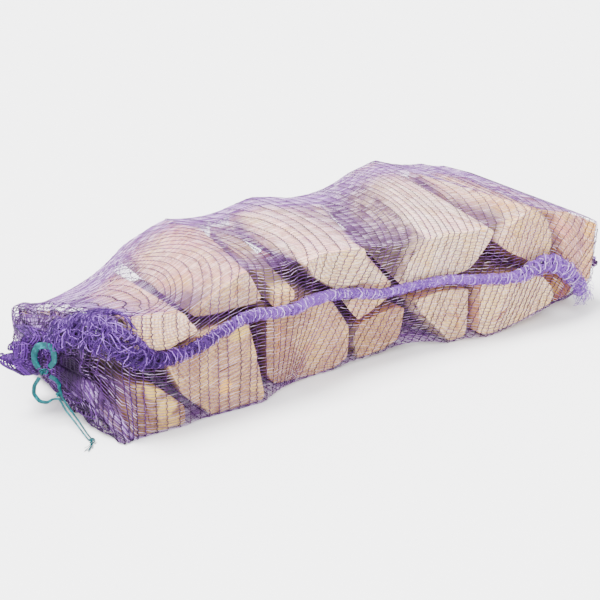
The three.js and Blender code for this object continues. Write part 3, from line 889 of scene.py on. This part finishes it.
class Sack:
    # The net's surface: a place on it is given by u, metres of net from the ruffle's rim, and v, the share of
    # the way round from the seam over the top.
    def __init__(self, rings, mouthRows):
        self.rings = rings
        self.mouthRows = mouthRows
        steps = np.linalg.norm(np.diff(rings, axis=0), axis=-1).mean(axis=1)
        # the gathered mouth holds more net along its length than its outline shows
        row = np.arange(len(steps))
        share = np.interp(row, [0, 8, mouthRows], [0, 0.3, 1])
        gather = np.array(mouthPlan["gather"])
        spread = np.interp(share, gather[:, 0], gather[:, 1])
        stretch = np.array(netPlan["stretch"], float)
        along = drawnX(rings[:-1].mean(axis=1)[:, 0])
        spread = np.where(row < mouthRows, spread, np.interp(along, stretch[:, 0], stretch[:, 1]))
        self.u = np.append(0, np.cumsum(np.maximum(steps, 1e-5) * spread))
        self.bow = bowTable()
        across = np.gradient(rings, axis=0)
        around = np.roll(rings, -1, axis=1) - np.roll(rings, 1, axis=1)
        self.normals = unit(np.cross(across, around))
        middle = rings.mean(axis=1, keepdims=True)
        if (self.normals * (rings - middle)).sum(-1).mean() < 0:
            self.normals = -self.normals

    def read(self, table, u, v):
        row = np.clip(np.interp(u, self.u, np.arange(len(self.u))), 0, len(self.u) - 1.001)
        return blended(table, row, (v % 1) * table.shape[1])

    def at(self, u, v):
        return self.read(self.rings, u, v)

    def bunched(self, u):
        # 1 in the ruffle, where the threads are crumpled together, to 0 where the net lies open on the logs
        return np.interp(u, self.u[[0, 12, self.mouthRows - 4, self.mouthRows + 12]], [1.0, 0.9, 0.4, 0.0])

    def out(self, u, v):
        return unit(self.read(self.normals, u, v))


# Net sack: its threads

netPlan = {
    "stitches": 138,
    "pillarSpace": 0.0112,
    "pillarRadius": 0.00058,
    "swing": 0.0008,
    "threadRadius": 0.00032,
    # x along the bundle, and metres of net for a metre of outline: below 1 it is pulled open
    "stretch": ((18, 0.8), (60, 0.72), (150, 0.8), (230, 1), (740, 1)),
    # where round the bundle the net is bunched: the middle, the width, and how much more net lies there
    "crowds": ((0.375, 0.045, 1.9), (0.855, 0.022, 1.6)),
    "pairGap": 0.25,  # half the way between the two threads of a stitch, in stitches
    "cross": 0.07,  # how far each end of a thread slants away from its middle, in stitches
    # how a pillar strays: metres along the bundle, noise for each pillar and for each stitch, and a seed
    "drifts": ((0.0044, 0.9, 0.045, 12), (0.002, 1.7, 0.16, 13)),
    "tones": (0.2, 0.78),  # a thread's own lightness
    "hollow": ((-24, 78, 62), 17),  # the hollow beside the neck, where threads get painted shade, and its reach
    # how far the pillars lean on the front: x along the bundle, and metres of X for a metre of height
    "lean": (
        (-60, 0), (190, 0), (225, 0.08), (300, 0.6), (400, 0.5), (480, 0.4), (560, 0.42), (640, 0.7),
        (740, 0.7),
    ),
    # on the top they bow round a centre beside the mouth: x along the bundle, and the centre's y
    "bow": ((0, 124), (220, 140), (420, 300), (740, 330)),
    # the shares of the way round where the bow ends, and where the lean fades out over the back and in again
    "bowEnds": (0.4, 0.54),
    "leanFades": (0.36, 0.5, 0.64),
}


def bowTable():
    # How far X moves along a pillar that crosses the top from the front edge back, by steps of
    # dX / dY = (centre - Y) / (X + before), kept between two slopes. Towards the mouth it fades out.
    starts, depths = np.linspace(-60, 760, 165), np.linspace(0, 340, 86)
    before, steepest, fades = 40, (-0.6, 0.9), (-30, 40)
    bow = np.array(netPlan["bow"], float)
    x = starts.copy()
    moved = []
    for y in depths:
        moved.append(x - starts)
        slope = (np.interp(x, bow[:, 0], bow[:, 1]) - y) / np.maximum(x + before, before)
        x = x + np.clip(slope, *steepest) * smoothstep(*fades, x) * (depths[1] - depths[0])
    return starts, depths, np.array(moved) / 1000


def leanOf(sack, u, v):
    # how far a pillar's place moves along u: by its height above the seam, and on the top by its way back
    v = v % 1
    here = sack.at(u, v)
    front = sack.at(u, np.zeros_like(v))
    lean = np.array(netPlan["lean"], float)
    along = drawnX(front[..., 0])
    slope = np.interp(along, lean[:, 0], lean[:, 1])
    tilt = slope * (here[..., 2] - front[..., 2])
    starts, depths, moved = sack.bow
    column = np.clip(np.interp(along, starts, np.arange(len(starts))), 0, len(starts) - 1.001)
    inwards = (here[..., 1] - np.minimum(front[..., 1], placed((0, 10, 0))[1])) * 1000
    row = np.clip(inwards / (depths[1] - depths[0]), 0, len(depths) - 1.001)
    overTop = (1 - smoothstep(*netPlan["bowEnds"], v)) * blended(moved, row, column)
    out, behind, back = netPlan["leanFades"]
    atBack = smoothstep(out, behind, v) * (1 - smoothstep(behind, back, v))
    return tilt * (1 - atBack) + overTop


def crowded(share):
    # the share of the way round for a share of the stitches, which lie closer where the net is bunched
    grid = np.linspace(0, 1, 800)
    density = 1 + sum(more * np.exp(-(((grid - at) / width) ** 2)) for at, width, more in netPlan["crowds"])
    counted = np.cumsum(density)
    counted = (counted - counted[0]) / (counted[-1] - counted[0])
    whole = np.floor(share)
    return whole + np.interp(share - whole, counted, grid)


def pillarPlaces(sack, pillars, stitch):
    # u and v of pillars at places counted in stitches: a swing to and fro once a stitch, and the lean
    swing = np.where(pillars % 2 == 0, 1.0, -1.0) * np.cos(tau * stitch)
    stitches = netPlan["stitches"]
    v = crowded(stitch / stitches)
    v = v + 0.25 / stitches * (softNoise(pillars * 0.35, stitch * 0.05, 11) - 0.5)
    drift = sum(
        far * (softNoise(pillars * across + 7, stitch * along, seed) - 0.5)
        for far, across, along, seed in netPlan["drifts"]
    )
    for fromSeam in (stitch % stitches, stitches - stitch % stitches):
        drift = drift * smoothstep(0, 3, fromSeam)
    u = (pillars + 0.5) * netPlan["pillarSpace"] + netPlan["swing"] * swing + drift
    u = np.clip(u + leanOf(sack, u, v), 0.0008, sack.u[-1] - 0.0008)
    return u, v


def netPiece(name, made, paint, bunch, count, seed, replaced=()):
    # A piece of threads with what their paint reads: how bunched the net is, how near the hollow beside the
    # neck it lies, where painted shade darkens it, and a lightness for each of its count threads.
    piece = makePiece(name, *made, paint, "net", replaced)
    place, width = netPlan["hollow"]
    near = np.exp(-((np.linalg.norm(made[0] - placed(place), axis=1) * 1000 / width) ** 2))
    each = np.random.default_rng(seed).uniform(*netPlan["tones"], count)
    giveAttribute(piece, "tone", np.repeat(each, len(near) // count) * (1 - near))
    giveAttribute(piece, "hollow", near)
    giveAttribute(piece, "bunch", np.broadcast_to(bunch, len(near)))


def inThree(start, end):
    # the start, middle and end of each thread
    shares = np.array([0, 0.5, 1])
    return (start[..., None] * (1 - shares) + end[..., None] * shares).reshape(-1, 3)


def makeNet(sack, paints):
    count = int(sack.u[-1] / netPlan["pillarSpace"])
    stitches = netPlan["stitches"]
    parts = np.array_split(np.arange(count), 3)

    def thread(kind, label, u, v, seed, replaced=()):
        bunched = sack.bunched(u)
        made = strands(sack.at(u, v), sack.out(u, v), netPlan[kind + "Radius"] * (1 + bunched), 3)
        name, paint = f"net_{kind}s_{label}", paints[kind + "s"]
        netPiece(name, made, paint, np.repeat(bunched, 3), len(u), seed, replaced)

    for label, group in zip(("mouth_third", "middle_third", "closed_third"), parts):
        pillar, stitch = np.meshgrid(group, np.arange(stitches * 3 + 1) / 3, indexing="ij")
        u, v = pillarPlaces(sack, pillar, stitch)
        thread("pillar", label, u, v, 61, ["net_sack"] if label == "mouth_third" else [])

        # two threads of each stitch cross to the next pillar
        space, stitch = np.meshgrid(group[group < count - 1], np.arange(stitches), indexing="ij")
        phase = np.where(space % 2 == 0, 0.0, 0.5)
        pairs = []
        for side in (-1, 1):
            where = stitch + phase + side * netPlan["pairGap"]
            u0, v0 = pillarPlaces(sack, space, where - side * netPlan["cross"])
            u1, v1 = pillarPlaces(sack, space + 1, where + side * netPlan["cross"])
            pairs.append((inThree(u0, u1), inThree(v0, v1)))
        u, v = (np.concatenate(both) for both in zip(*pairs))
        thread("thread", label, u, v, 62)


# Colours of each kind of thread: middle, light and dark where the net is open, then the same three where it
# is bunched. The light ones are painted glints, the bunched ones are darker copies as painted shade, and the
# core's colours are painted shade.
netLooks = {
    "pillars": ((58, 24, 66), (84, 40, 96), (38, 14, 44), (46, 10, 74), (84, 34, 128), (22, 4, 36)),
    "threads": ((144, 96, 168), (232, 206, 240), (96, 54, 118), (56, 14, 90), (128, 74, 178), (28, 6, 46)),
    "rope": ((142, 88, 190), (222, 190, 242), (104, 58, 150), (66, 22, 106), (146, 92, 202), (32, 8, 56)),
    "core": ((52, 16, 72), (80, 34, 104), (30, 8, 42), (30, 6, 46), (60, 20, 88), (14, 2, 22)),
}


def netPaint(name, look):
    # thin plastic threads: uneven dye, some darker than others and some with painted glints, and painted
    # shade where the mouth bunches them
    paint = Paint(name)
    patch = paint.noise((45, 45, 45), 3, 0.6)
    fine = paint.noise((700, 700, 700), 2, 0.6)
    base, light, dark, bunchedShadedBase, bunchedShadedLight, bunchedShadedDark = (tint(*colour) for colour in look)
    tone = paint.attribute("tone")
    shade = (patch * 0.5 + (1 - tone) * 0.5).step(0.42, 0.66)
    shine = (fine * 0.4 + tone * 0.6).step(0.5, 0.72)
    spread = paint.mix(shine, paint.mix(shade, base, dark), light)
    # bunched threads take darker copies of the colours, painted shade of the crumpled folds
    deep = paint.mix(shine, paint.mix(shade, bunchedShadedBase, bunchedShadedDark), bunchedShadedLight)
    colour = paint.mix(paint.attribute("bunch"), spread, deep)
    # painted shade: threads near the hollow beside the neck are darkened nearly to black
    colour = paint.mix(paint.attribute("hollow") * 0.9, colour, tint(22, 6, 32))
    paint.set(Base_Color=colour, Roughness=0.48 + fine * 0.2, Normal=paint.bump(fine, 0.0003))
    paint.set(Specular_IOR_Level=0.2)
    return paint.material


# Gathered mouth: the net packed inside the neck, as a dark core of painted shade, and the folds drawn up
# over the seam

# For each fold, the rings that it passes, counted from the ruffle's rim, and how far from the seam it runs
# there, as a share of the way round. Then its half width and half height in millimetres, and how many threads
# run along it and round it.
foldPlan = {
    # the dark core of painted shade inside the mouth
    "core": {"shrink": 0.84, "fromRing": 3, "toX": -14, "bunch": 0.8},
    "above": {
        "way": ((8, 0.075), (16, 0.05), (26, 0.034), (36, 0.026), (44, 0.013), (52, 0.002)),
        "size": (6.5, 4.5),
        "threads": (24, 9),
    },
    "top": {
        "way": ((8, 0.16), (15, 0.11), (22, 0.075), (30, 0.05), (38, 0.04)),
        "size": (5, 3.5),
        "threads": (18, 7),
    },
    "threadRadius": 0.00036,
}


def smoothRows(values, width):
    # running mean over width rows, with the ends held
    before, after = (np.repeat(end, width // 2, 0) for end in (values[:1], values[-1:]))
    padded = np.concatenate([before, values, after])
    sums = np.cumsum(np.vstack([np.zeros((1, values.shape[1])), padded]), axis=0)
    return (sums[width:] - sums[:-width]) / width


def foldLine(sack, way):
    # a fold's middle line at even steps, with the net's outward normals along it
    rings = np.linspace(way[0, 0], way[-1, 0], 400)
    u = np.interp(rings, np.arange(len(sack.u)), sack.u)
    smooth = smoothRows(sack.at(u, np.interp(rings, way[:, 0], way[:, 1])), 31)
    lengths = lengthsAlong(smooth)
    s = np.arange(0, lengths[-1], seamPlan["step"])
    line = np.stack([np.interp(s, lengths, smooth[:, k]) for k in range(3)], -1)
    v = np.interp(np.interp(s, lengths, rings), way[:, 0], way[:, 1])
    return s, line, unit(smoothRows(sack.out(np.interp(s, lengths, u), v), 15))


def makeMouth(sack, paints):
    # Painted shade: a dark core, the mouth's own net surface drawn in, place = middle + shrink (place -
    # middle).
    plan = foldPlan["core"]
    rows = np.flatnonzero(drawnX(sack.rings.mean(axis=1)[:, 0]) < plan["toX"])[plan["fromRing"] :]
    inner = sack.rings[rows][:, ::3]
    middle = inner.mean(axis=1, keepdims=True)
    inner = middle + plan["shrink"] * (inner - middle)
    inner[..., 2] = np.maximum(inner[..., 2], 0.0012)
    netPiece("net_mouth_shade_core", capped(inner), paints["core"], plan["bunch"], 1, 60)
    for seed, name in enumerate(("above", "top")):
        fold = foldPlan[name]
        s, line, outwards = foldLine(sack, np.array(fold["way"], float))
        ends = np.minimum(smoothstep(-0.1, 0.2, s / s[-1]), smoothstep(-0.1, 0.4, 1 - s / s[-1]))
        width, height = (size / 1000 * ends for size in fold["size"])
        rope = Rope(s, line, outwards, width, height, foldPlan["threadRadius"])
        lengthwise, wraps = fold["threads"]
        folds, loops = rope.lengthwise(lengthwise, 31 + 10 * seed), rope.wraps(wraps, 36 + 10 * seed)
        netPiece("net_mouth_folds_" + name, folds, paints["rope"], 0.9, lengthwise, 64 + seed)
        netPiece("net_mouth_loops_" + name, loops, paints["rope"], 0.9, wraps, 64 + seed)


# Side seam: the net's edge gathered to a rope, with loops of thread standing out

seamPlan = {
    # x along the bundle, half the rope's width along the net and half its height above it, in millimetres
    "profile": (
        (-40, 10, 5), (-28, 15, 7), (-12, 15, 7), (3, 11, 6), (28, 7.5, 5), (73, 6, 4.6), (150, 4.8, 4),
        (300, 4.6, 4), (420, 4.0, 3.4), (560, 5, 4), (595, 8.5, 5.5), (620, 9.5, 6), (655, 8.8, 5.6),
        (700, 6.5, 5),
    ),
    "endsAt": 698,
    "step": 0.0011,
    "threadRadius": 0.0005,
    "lengthwise": 28,
    "wraps": 16,
    "pitch": (0.007, 0.013),  # of a wrap round a rope 5 mm in half its width
    "core": 0.26,  # the dark core's size, painted shade inside the rope, as a share of the rope's
    "bunchFades": (40, 260),
    "frays": {
        "count": 34,
        "curl": (0.004, 0.009),
        "turns": (3, 8),  # radians
        "reach": 0.017,
        "ways": ((-0.5, 0.7), (-0.5, 0.1), (-1, 0.1)),  # along X, Y and Z
        "radius": 0.00035,
        "floor": 0.0006,
    },
}
# the closed end's seam: the share of the way round where it runs, its half width and height, its threads
endSeam = {"way": (0.02, 0.48), "size": (0.003, 0.0022), "lengthwise": 12, "wraps": 4}


# how a rope's threads lie. Lengths are in metres.
ropePlan = {
    "lump": (0.25, 0.006),  # of the dark core, painted shade: its height as a share of the core, and its length
    "turns": (-9, 16),  # of a lengthwise thread, in radians for each metre
    "sway": (2.6, 0.013),  # its wandering round the rope, in radians, and over what length
    # how far out, as a share of the rope's size: the least, how much more, and over what length
    "lengthwise": (0.5, 0.75, 0.009),
    "wraps": (0.45, 1.35, 0.003),
    "pace": (0.6, 0.8, 0.02),  # a wrap's turning, in the same three numbers
}


def seamLine(sack):
    # the rope's foot on the net, from the neck to the closed end's foot, with its outward normals
    onSeam = sack.at(sack.u, np.zeros(len(sack.u)))[:, 0]
    neck = len(mouthPlan["beyond"])
    last = np.interp(placed((seamPlan["endsAt"], 0, 0))[0], onSeam[neck:], sack.u[neck:])
    rough = np.linspace(sack.u[neck - 1], last, 1200)
    lengths = lengthsAlong(sack.at(rough, np.zeros(1200)))
    s = np.arange(0, lengths[-1], seamPlan["step"])
    u = np.interp(s, lengths, rough)
    line = smoothRows(sack.at(u, np.zeros_like(u)), 9)
    return s, line, unit(smoothRows(sack.out(u, np.zeros_like(u)), 25))


class Rope:
    # an oval bundle that lies along a line: width and height are its half axes at each row of the line
    def __init__(self, s, line, normal, width, height, thread):
        self.s = s
        self.line = line + height[:, None] * normal
        self.width = width
        self.height = height
        self.thread = thread
        self.side = unit(np.cross(unit(np.gradient(line, axis=0)), normal))
        self.upright = normal

    def wound(self, rows, angle, distance):
        across = (self.width[rows] * distance * np.cos(angle))[..., None] * self.side[rows]
        above = (self.height[rows] * distance * np.sin(angle))[..., None] * self.upright[rows]
        return self.line[rows] + across + above

    def core(self, share):
        # a solid tube, dark as painted shade, that fills the bundle's inside
        rows, sides = np.arange(0, len(self.s), 4)[:, None], 12
        angle = tau * np.arange(sides)[None] / sides
        high, long = ropePlan["lump"]
        lump = 1 + high * (softNoise(self.s[rows] / long, angle * 2, 33) - 0.5)
        points = self.wound(rows + np.zeros(sides, int), angle, share * lump)
        return points.reshape(-1, 3), tubeFaces(len(rows), sides)

    def lengthwise(self, count, seed):
        # threads that wander along the bundle
        rows = np.arange(0, len(self.s), 3)[None] + np.zeros((count, 1), int)
        s = self.s[rows]
        random = np.random.default_rng(seed)
        first = random.random((count, 1)) * tau
        turns = random.uniform(*ropePlan["turns"], (count, 1))
        key = 17 * np.arange(count)[:, None]
        sway, long = ropePlan["sway"]
        angle = first + turns * s + sway * (softNoise(s / long + key, first, seed) - 0.5)
        least, more, long = ropePlan["lengthwise"]
        distance = least + more * softNoise(s / long + key * 3, first, seed + 1)
        points = self.wound(rows, angle, distance)
        return strands(points, unit(points - self.line[rows]), self.thread, 3)

    def wraps(self, count, seed):
        # threads that loop round the bundle, tightly where it is thin, every third one the other way round
        random = np.random.default_rng(seed)
        number = np.arange(count)[:, None]
        pitch = random.uniform(*seamPlan["pitch"], (count, 1)) * (self.width[None] / 0.005) ** 1.2
        least, more, long = ropePlan["pace"]
        speed = tau / pitch * (least + more * softNoise(self.s[None] / long + 41 * number, pitch, seed))
        angle = random.random((count, 1)) * tau + np.cumsum(speed, axis=1) * seamPlan["step"]
        angle = angle * np.where(number % 3 == 0, -1, 1)
        key = 23 * number
        least, more, long = ropePlan["wraps"]
        distance = least + more * softNoise(self.s[None] / long + key, pitch * 99, seed + 1)
        shift = (2.2 * np.sin(angle + key)).astype(int)
        rows = np.clip(np.arange(len(self.s))[None] + shift, 0, len(self.s) - 1)
        points = self.wound(rows, angle, distance)
        return strands(points, unit(points - self.line[None]), self.thread, 3)


def makeSeam(sack, paints):
    plan, radius = seamPlan, seamPlan["threadRadius"]
    s, foot, normal = seamLine(sack)
    profile = np.array(plan["profile"], float)
    width, height = (np.interp(drawnX(foot[:, 0]), profile[:, 0], profile[:, k]) / 1000 for k in (1, 2))
    seam = Rope(s, foot, normal, width, height, radius)
    for name, made, paint, count in (
        ("core", seam.core(plan["core"]), "core", 1),
        ("edges", seam.lengthwise(plan["lengthwise"], 71), "rope", plan["lengthwise"]),
        ("stitches", seam.wraps(plan["wraps"], 75), "rope", plan["wraps"]),
    ):
        # near the mouth the seam takes the darker bunched colours, painted shade that fades out along x
        bunch = 0.95 - 0.95 * smoothstep(*plan["bunchFades"], drawnX(made[0][:, 0]))
        netPiece("net_seam_" + name, made, paints[paint], bunch, count, 63)
    rows = 280
    end = sack.at(np.full(rows, sack.u[-1]), np.linspace(*endSeam["way"], rows))
    width, height = (np.full(rows, size) for size in endSeam["size"])
    closing = Rope(lengthsAlong(end), end, np.broadcast_to([1.0, 0, 0], end.shape), width, height, radius)
    for name, made, count in (
        ("net_end_seam_edges", closing.lengthwise(endSeam["lengthwise"], 83), endSeam["lengthwise"]),
        ("net_end_seam_stitches", closing.wraps(endSeam["wraps"], 87), endSeam["wraps"]),
        ("net_seam_frays", frays(seam.line[-1]), plan["frays"]["count"]),
    ):
        netPiece(name, made, paints["rope"], 0, count, 67)


def frays(start):
    # Loose threads at the seam's foot: each curls once or more while it wanders down and outwards,
    # place = start + t reach way + curl (sin, 1 - cos)(turns t).
    plan = seamPlan["frays"]
    count = plan["count"]
    random = np.random.default_rng(93)
    t = np.linspace(0, 1, 40)[None, :, None]
    way = np.stack([random.uniform(low, high, count) for low, high in plan["ways"]], -1)
    curl = random.uniform(*plan["curl"], count)[:, None, None]
    turns = random.uniform(*plan["turns"], count)[:, None, None] * t
    across = unit(random.normal(size=(count, 3)) * [1, 0.5, 1])[:, None]
    over = unit(np.cross(across[:, 0], [0.2, -1, 0.1]))[:, None]
    curled = curl * (np.sin(turns) * across + (1 - np.cos(turns)) * over)
    points = start + t * plan["reach"] * way[:, None] + curled
    points[..., 2] = np.maximum(points[..., 2], plan["floor"])
    return strands(points, np.broadcast_to([0.1, -0.9, 0.4], points.shape), plan["radius"], 3)


# Drawstring

# places and sizes in millimetres, widths of the tape in metres
tapePlan = {"bowWidth": 0.0076, "loopWidth": 0.0048, "tailWidth": 0.0026, "flat": 0.16, "roundness": 0.55}
knots = {
    "drawstring_upper_knot": {"centre": (-54.5, 98.5, 60), "size": (12, 7, 9)},
    "drawstring_lower_knot": {"centre": (-45, 82.5, 35), "size": (7, 6, 6)},
    "drawstring_end_knot": {"centre": (-34, 19, 1.7), "size": (9, 7, 6)},
}
upperLoop = [
    (-59.5, 100, 65), (-62, 103, 73), (-61, 105, 82), (-57.5, 103, 90), (-52, 98, 92.2),
    (-46, 93, 90.5), (-44, 90, 84), (-44.5, 89, 74), (-49, 93, 66),
]
lowerLoopLeft = [
    (-60.5, 96.5, 55), (-67.5, 95.5, 47), (-69.5, 93.5, 38), (-65.5, 88.5, 30), (-58.5, 84.5, 28),
    (-52, 82.5, 31),
]
lowerLoopRight = [(-49.5, 93.5, 55), (-45, 88.5, 52), (-42, 85.5, 47), (-42.5, 84, 41.5)]
tailFront = [(-46, 77.5, 31.5), (-43.5, 66, 21.5), (-39, 50, 11), (-36.5, 34, 3.4), (-36, 24, 1.4)]
tailBack = [(-42, 77.5, 31.5), (-38.5, 67, 22), (-34.5, 52, 11.5), (-32.8, 36, 3.8), (-32.4, 24.5, 1.6)]
tip = {
    "route": [(-36, 14, 1), (-40, 9, 0), (-44, 5, -0.3)],
    "threads": 12,
    "threadRadius": 0.0003,
    "spread": (0.0016, 0.0016, 0.0005),
}


def tapePaint():
    # woven plastic tape, lighter and darker in soft patches, with fine darker flecks
    paint = Paint("tape")
    coarse = paint.noise((160, 160, 160), 3, 0.6)
    fine = paint.noise((1500, 1500, 500), 2, 0.6)
    colour = paint.mix(coarse.step(0.45, 0.75), tint(0, 62, 68), tint(0, 116, 124))
    colour = paint.mix(fine.step(0.5, 0.8) * 0.6, colour, tint(0, 38, 46))
    paint.set(Base_Color=colour, Roughness=0.42 + coarse * 0.15, Normal=paint.bump(fine, 0.0004))
    paint.set(Specular_IOR_Level=0.2)
    return paint.material


def makeTape(name, points, widths, paint, replaced):
    # A flat tape: an oval of the tape's width, carried along its route and turning slowly about it.
    route = smoothRoute(placed(points), 12 * len(points), tapePlan["roundness"])
    share = np.linspace(0, 1, len(route))
    width = np.interp(share, np.linspace(0, 1, len(widths)), widths)
    facing = np.stack([-0.5 + 0.5 * np.sin(5 * share), -0.8 + 0 * share, 0.35 + 0.3 * np.cos(4 * share)], -1)
    made = strands(route[None], unit(facing)[None], (width / 2)[None], 10, flat=tapePlan["flat"])
    piece = makePiece(name, *made, paint, "tape", replaced)


def makeKnot(name, knot, paint):
    # Tape pulled into a knot: the line ((2 + cos 3t) cos 2t, sin 3t, (2 + cos 3t) sin 2t), made its size.
    t = np.linspace(0, tau, 96, endpoint=False)
    round3 = 2 + np.cos(3 * t)
    line = np.stack([round3 * np.cos(2 * t), np.sin(3 * t), round3 * np.sin(2 * t)], -1)
    size = np.array(knot["size"]) / 1000
    thickness = 0.3 * size.min()
    line = line / [6, 2, 6] * (size - thickness)
    centre = placed(knot["centre"])
    made = strands((line + centre)[None], unit(line)[None], thickness / 2, 8, closed=True, flat=0.7)
    return makePiece(name + "_tape", *made, paint, "tape", [name])


def makeTip(paint):
    # the tape's end, frayed to threads that spread as they go
    route = smoothRoute(placed(tip["route"]), 24)
    share = np.linspace(0, 1, len(route))[None, :, None]
    spread = np.random.default_rng(5).normal(size=(tip["threads"], 1, 3)) * tip["spread"]
    points = route[None] + spread * (0.35 + 1.6 * share)
    points[..., 2] = np.maximum(points[..., 2], 0.0005)
    made = strands(points, np.broadcast_to([0, 0, 1.0], points.shape), tip["threadRadius"], 4)
    return makePiece("drawstring_tip_threads", *made, paint, "tape", ["drawstring_tip"])


def makeDrawstring():
    paint = tapePaint()
    upper, lower, end = (makeKnot(name, knot, paint) for name, knot in knots.items())
    frayed = makeTip(paint)
    broad, wide, narrow = tapePlan["bowWidth"], tapePlan["loopWidth"], tapePlan["tailWidth"]
    bow = [broad * 0.8, broad, broad, broad, broad * 0.8]
    run = [wide, wide, narrow, narrow, narrow]
    front, back = lowerLoopLeft + tailFront, lowerLoopRight + tailBack
    for name, points, widths, replaced, withPieces in (
        ("upper_bow", upperLoop, bow, ["upper_loop"], [upper]),
        ("front_run", front, run, ["lower_loop_left", "tail_front"], [lower, end, frayed]),
        ("back_run", back, run, ["lower_loop_right", "tail_back"], []),
    ):
        replaced = ["drawstring_" + node for node in replaced]
        makeTape("drawstring_" + name, points, widths, paint, replaced)


# Floor and light

# for each distant light: where it stands as seen from the bundle, its strength, and its width in degrees
studio = {
    "floor": (250, 250, 251),
    "floorSize": 30,
    "world": 2.1,
    "lights": {
        "above": ((-0.35, 0.2, 1.0), 10.2, 30),
        "front": ((-0.75, -1.0, 0.75), 2.6, 50),
    },
}


def makeStudio():
    paint = Paint("floor")
    paint.set(Base_Color=tint(*studio["floor"]), Roughness=0.9)
    bpy.ops.mesh.primitive_plane_add(size=studio["floorSize"])
    floor = bpy.context.object
    floor.name = "floor"
    floor.data.materials.append(paint.material)
    world = bpy.data.worlds.new("studio")
    bpy.context.scene.world = world
    world.use_nodes = True
    background = world.node_tree.nodes["Background"]
    background.inputs["Color"].default_value = (1, 1, 1, 1)
    background.inputs["Strength"].default_value = studio["world"]
    for name, (place, strength, width) in studio["lights"].items():
        light = bpy.data.lights.new(name, "SUN")
        light.energy = strength
        light.angle = math.radians(width)
        lamp = bpy.data.objects.new(name, light)
        lamp.location = place
        x, y, z = place
        lamp.rotation_euler = (math.atan2(math.hypot(x, y), z), 0, math.atan2(-y, -x) - math.pi / 2)
        bpy.context.scene.collection.objects.link(lamp)


makeStudio()
makeDrawstring()
print("drawstring made")
rings, mouthRows, drape = sackRings()
sack = Sack(rings, mouthRows)
print("sack surface:", len(sack.u), "rings,", round(sack.u[-1], 3), "m of net")
makeLogs(drape)
print("logs made")
netPaints = {name: netPaint("net " + name, look) for name, look in netLooks.items()}
makeNet(sack, netPaints)
print("net made")
makeMouth(sack, netPaints)
makeSeam(sack, netPaints)
print("seam made")
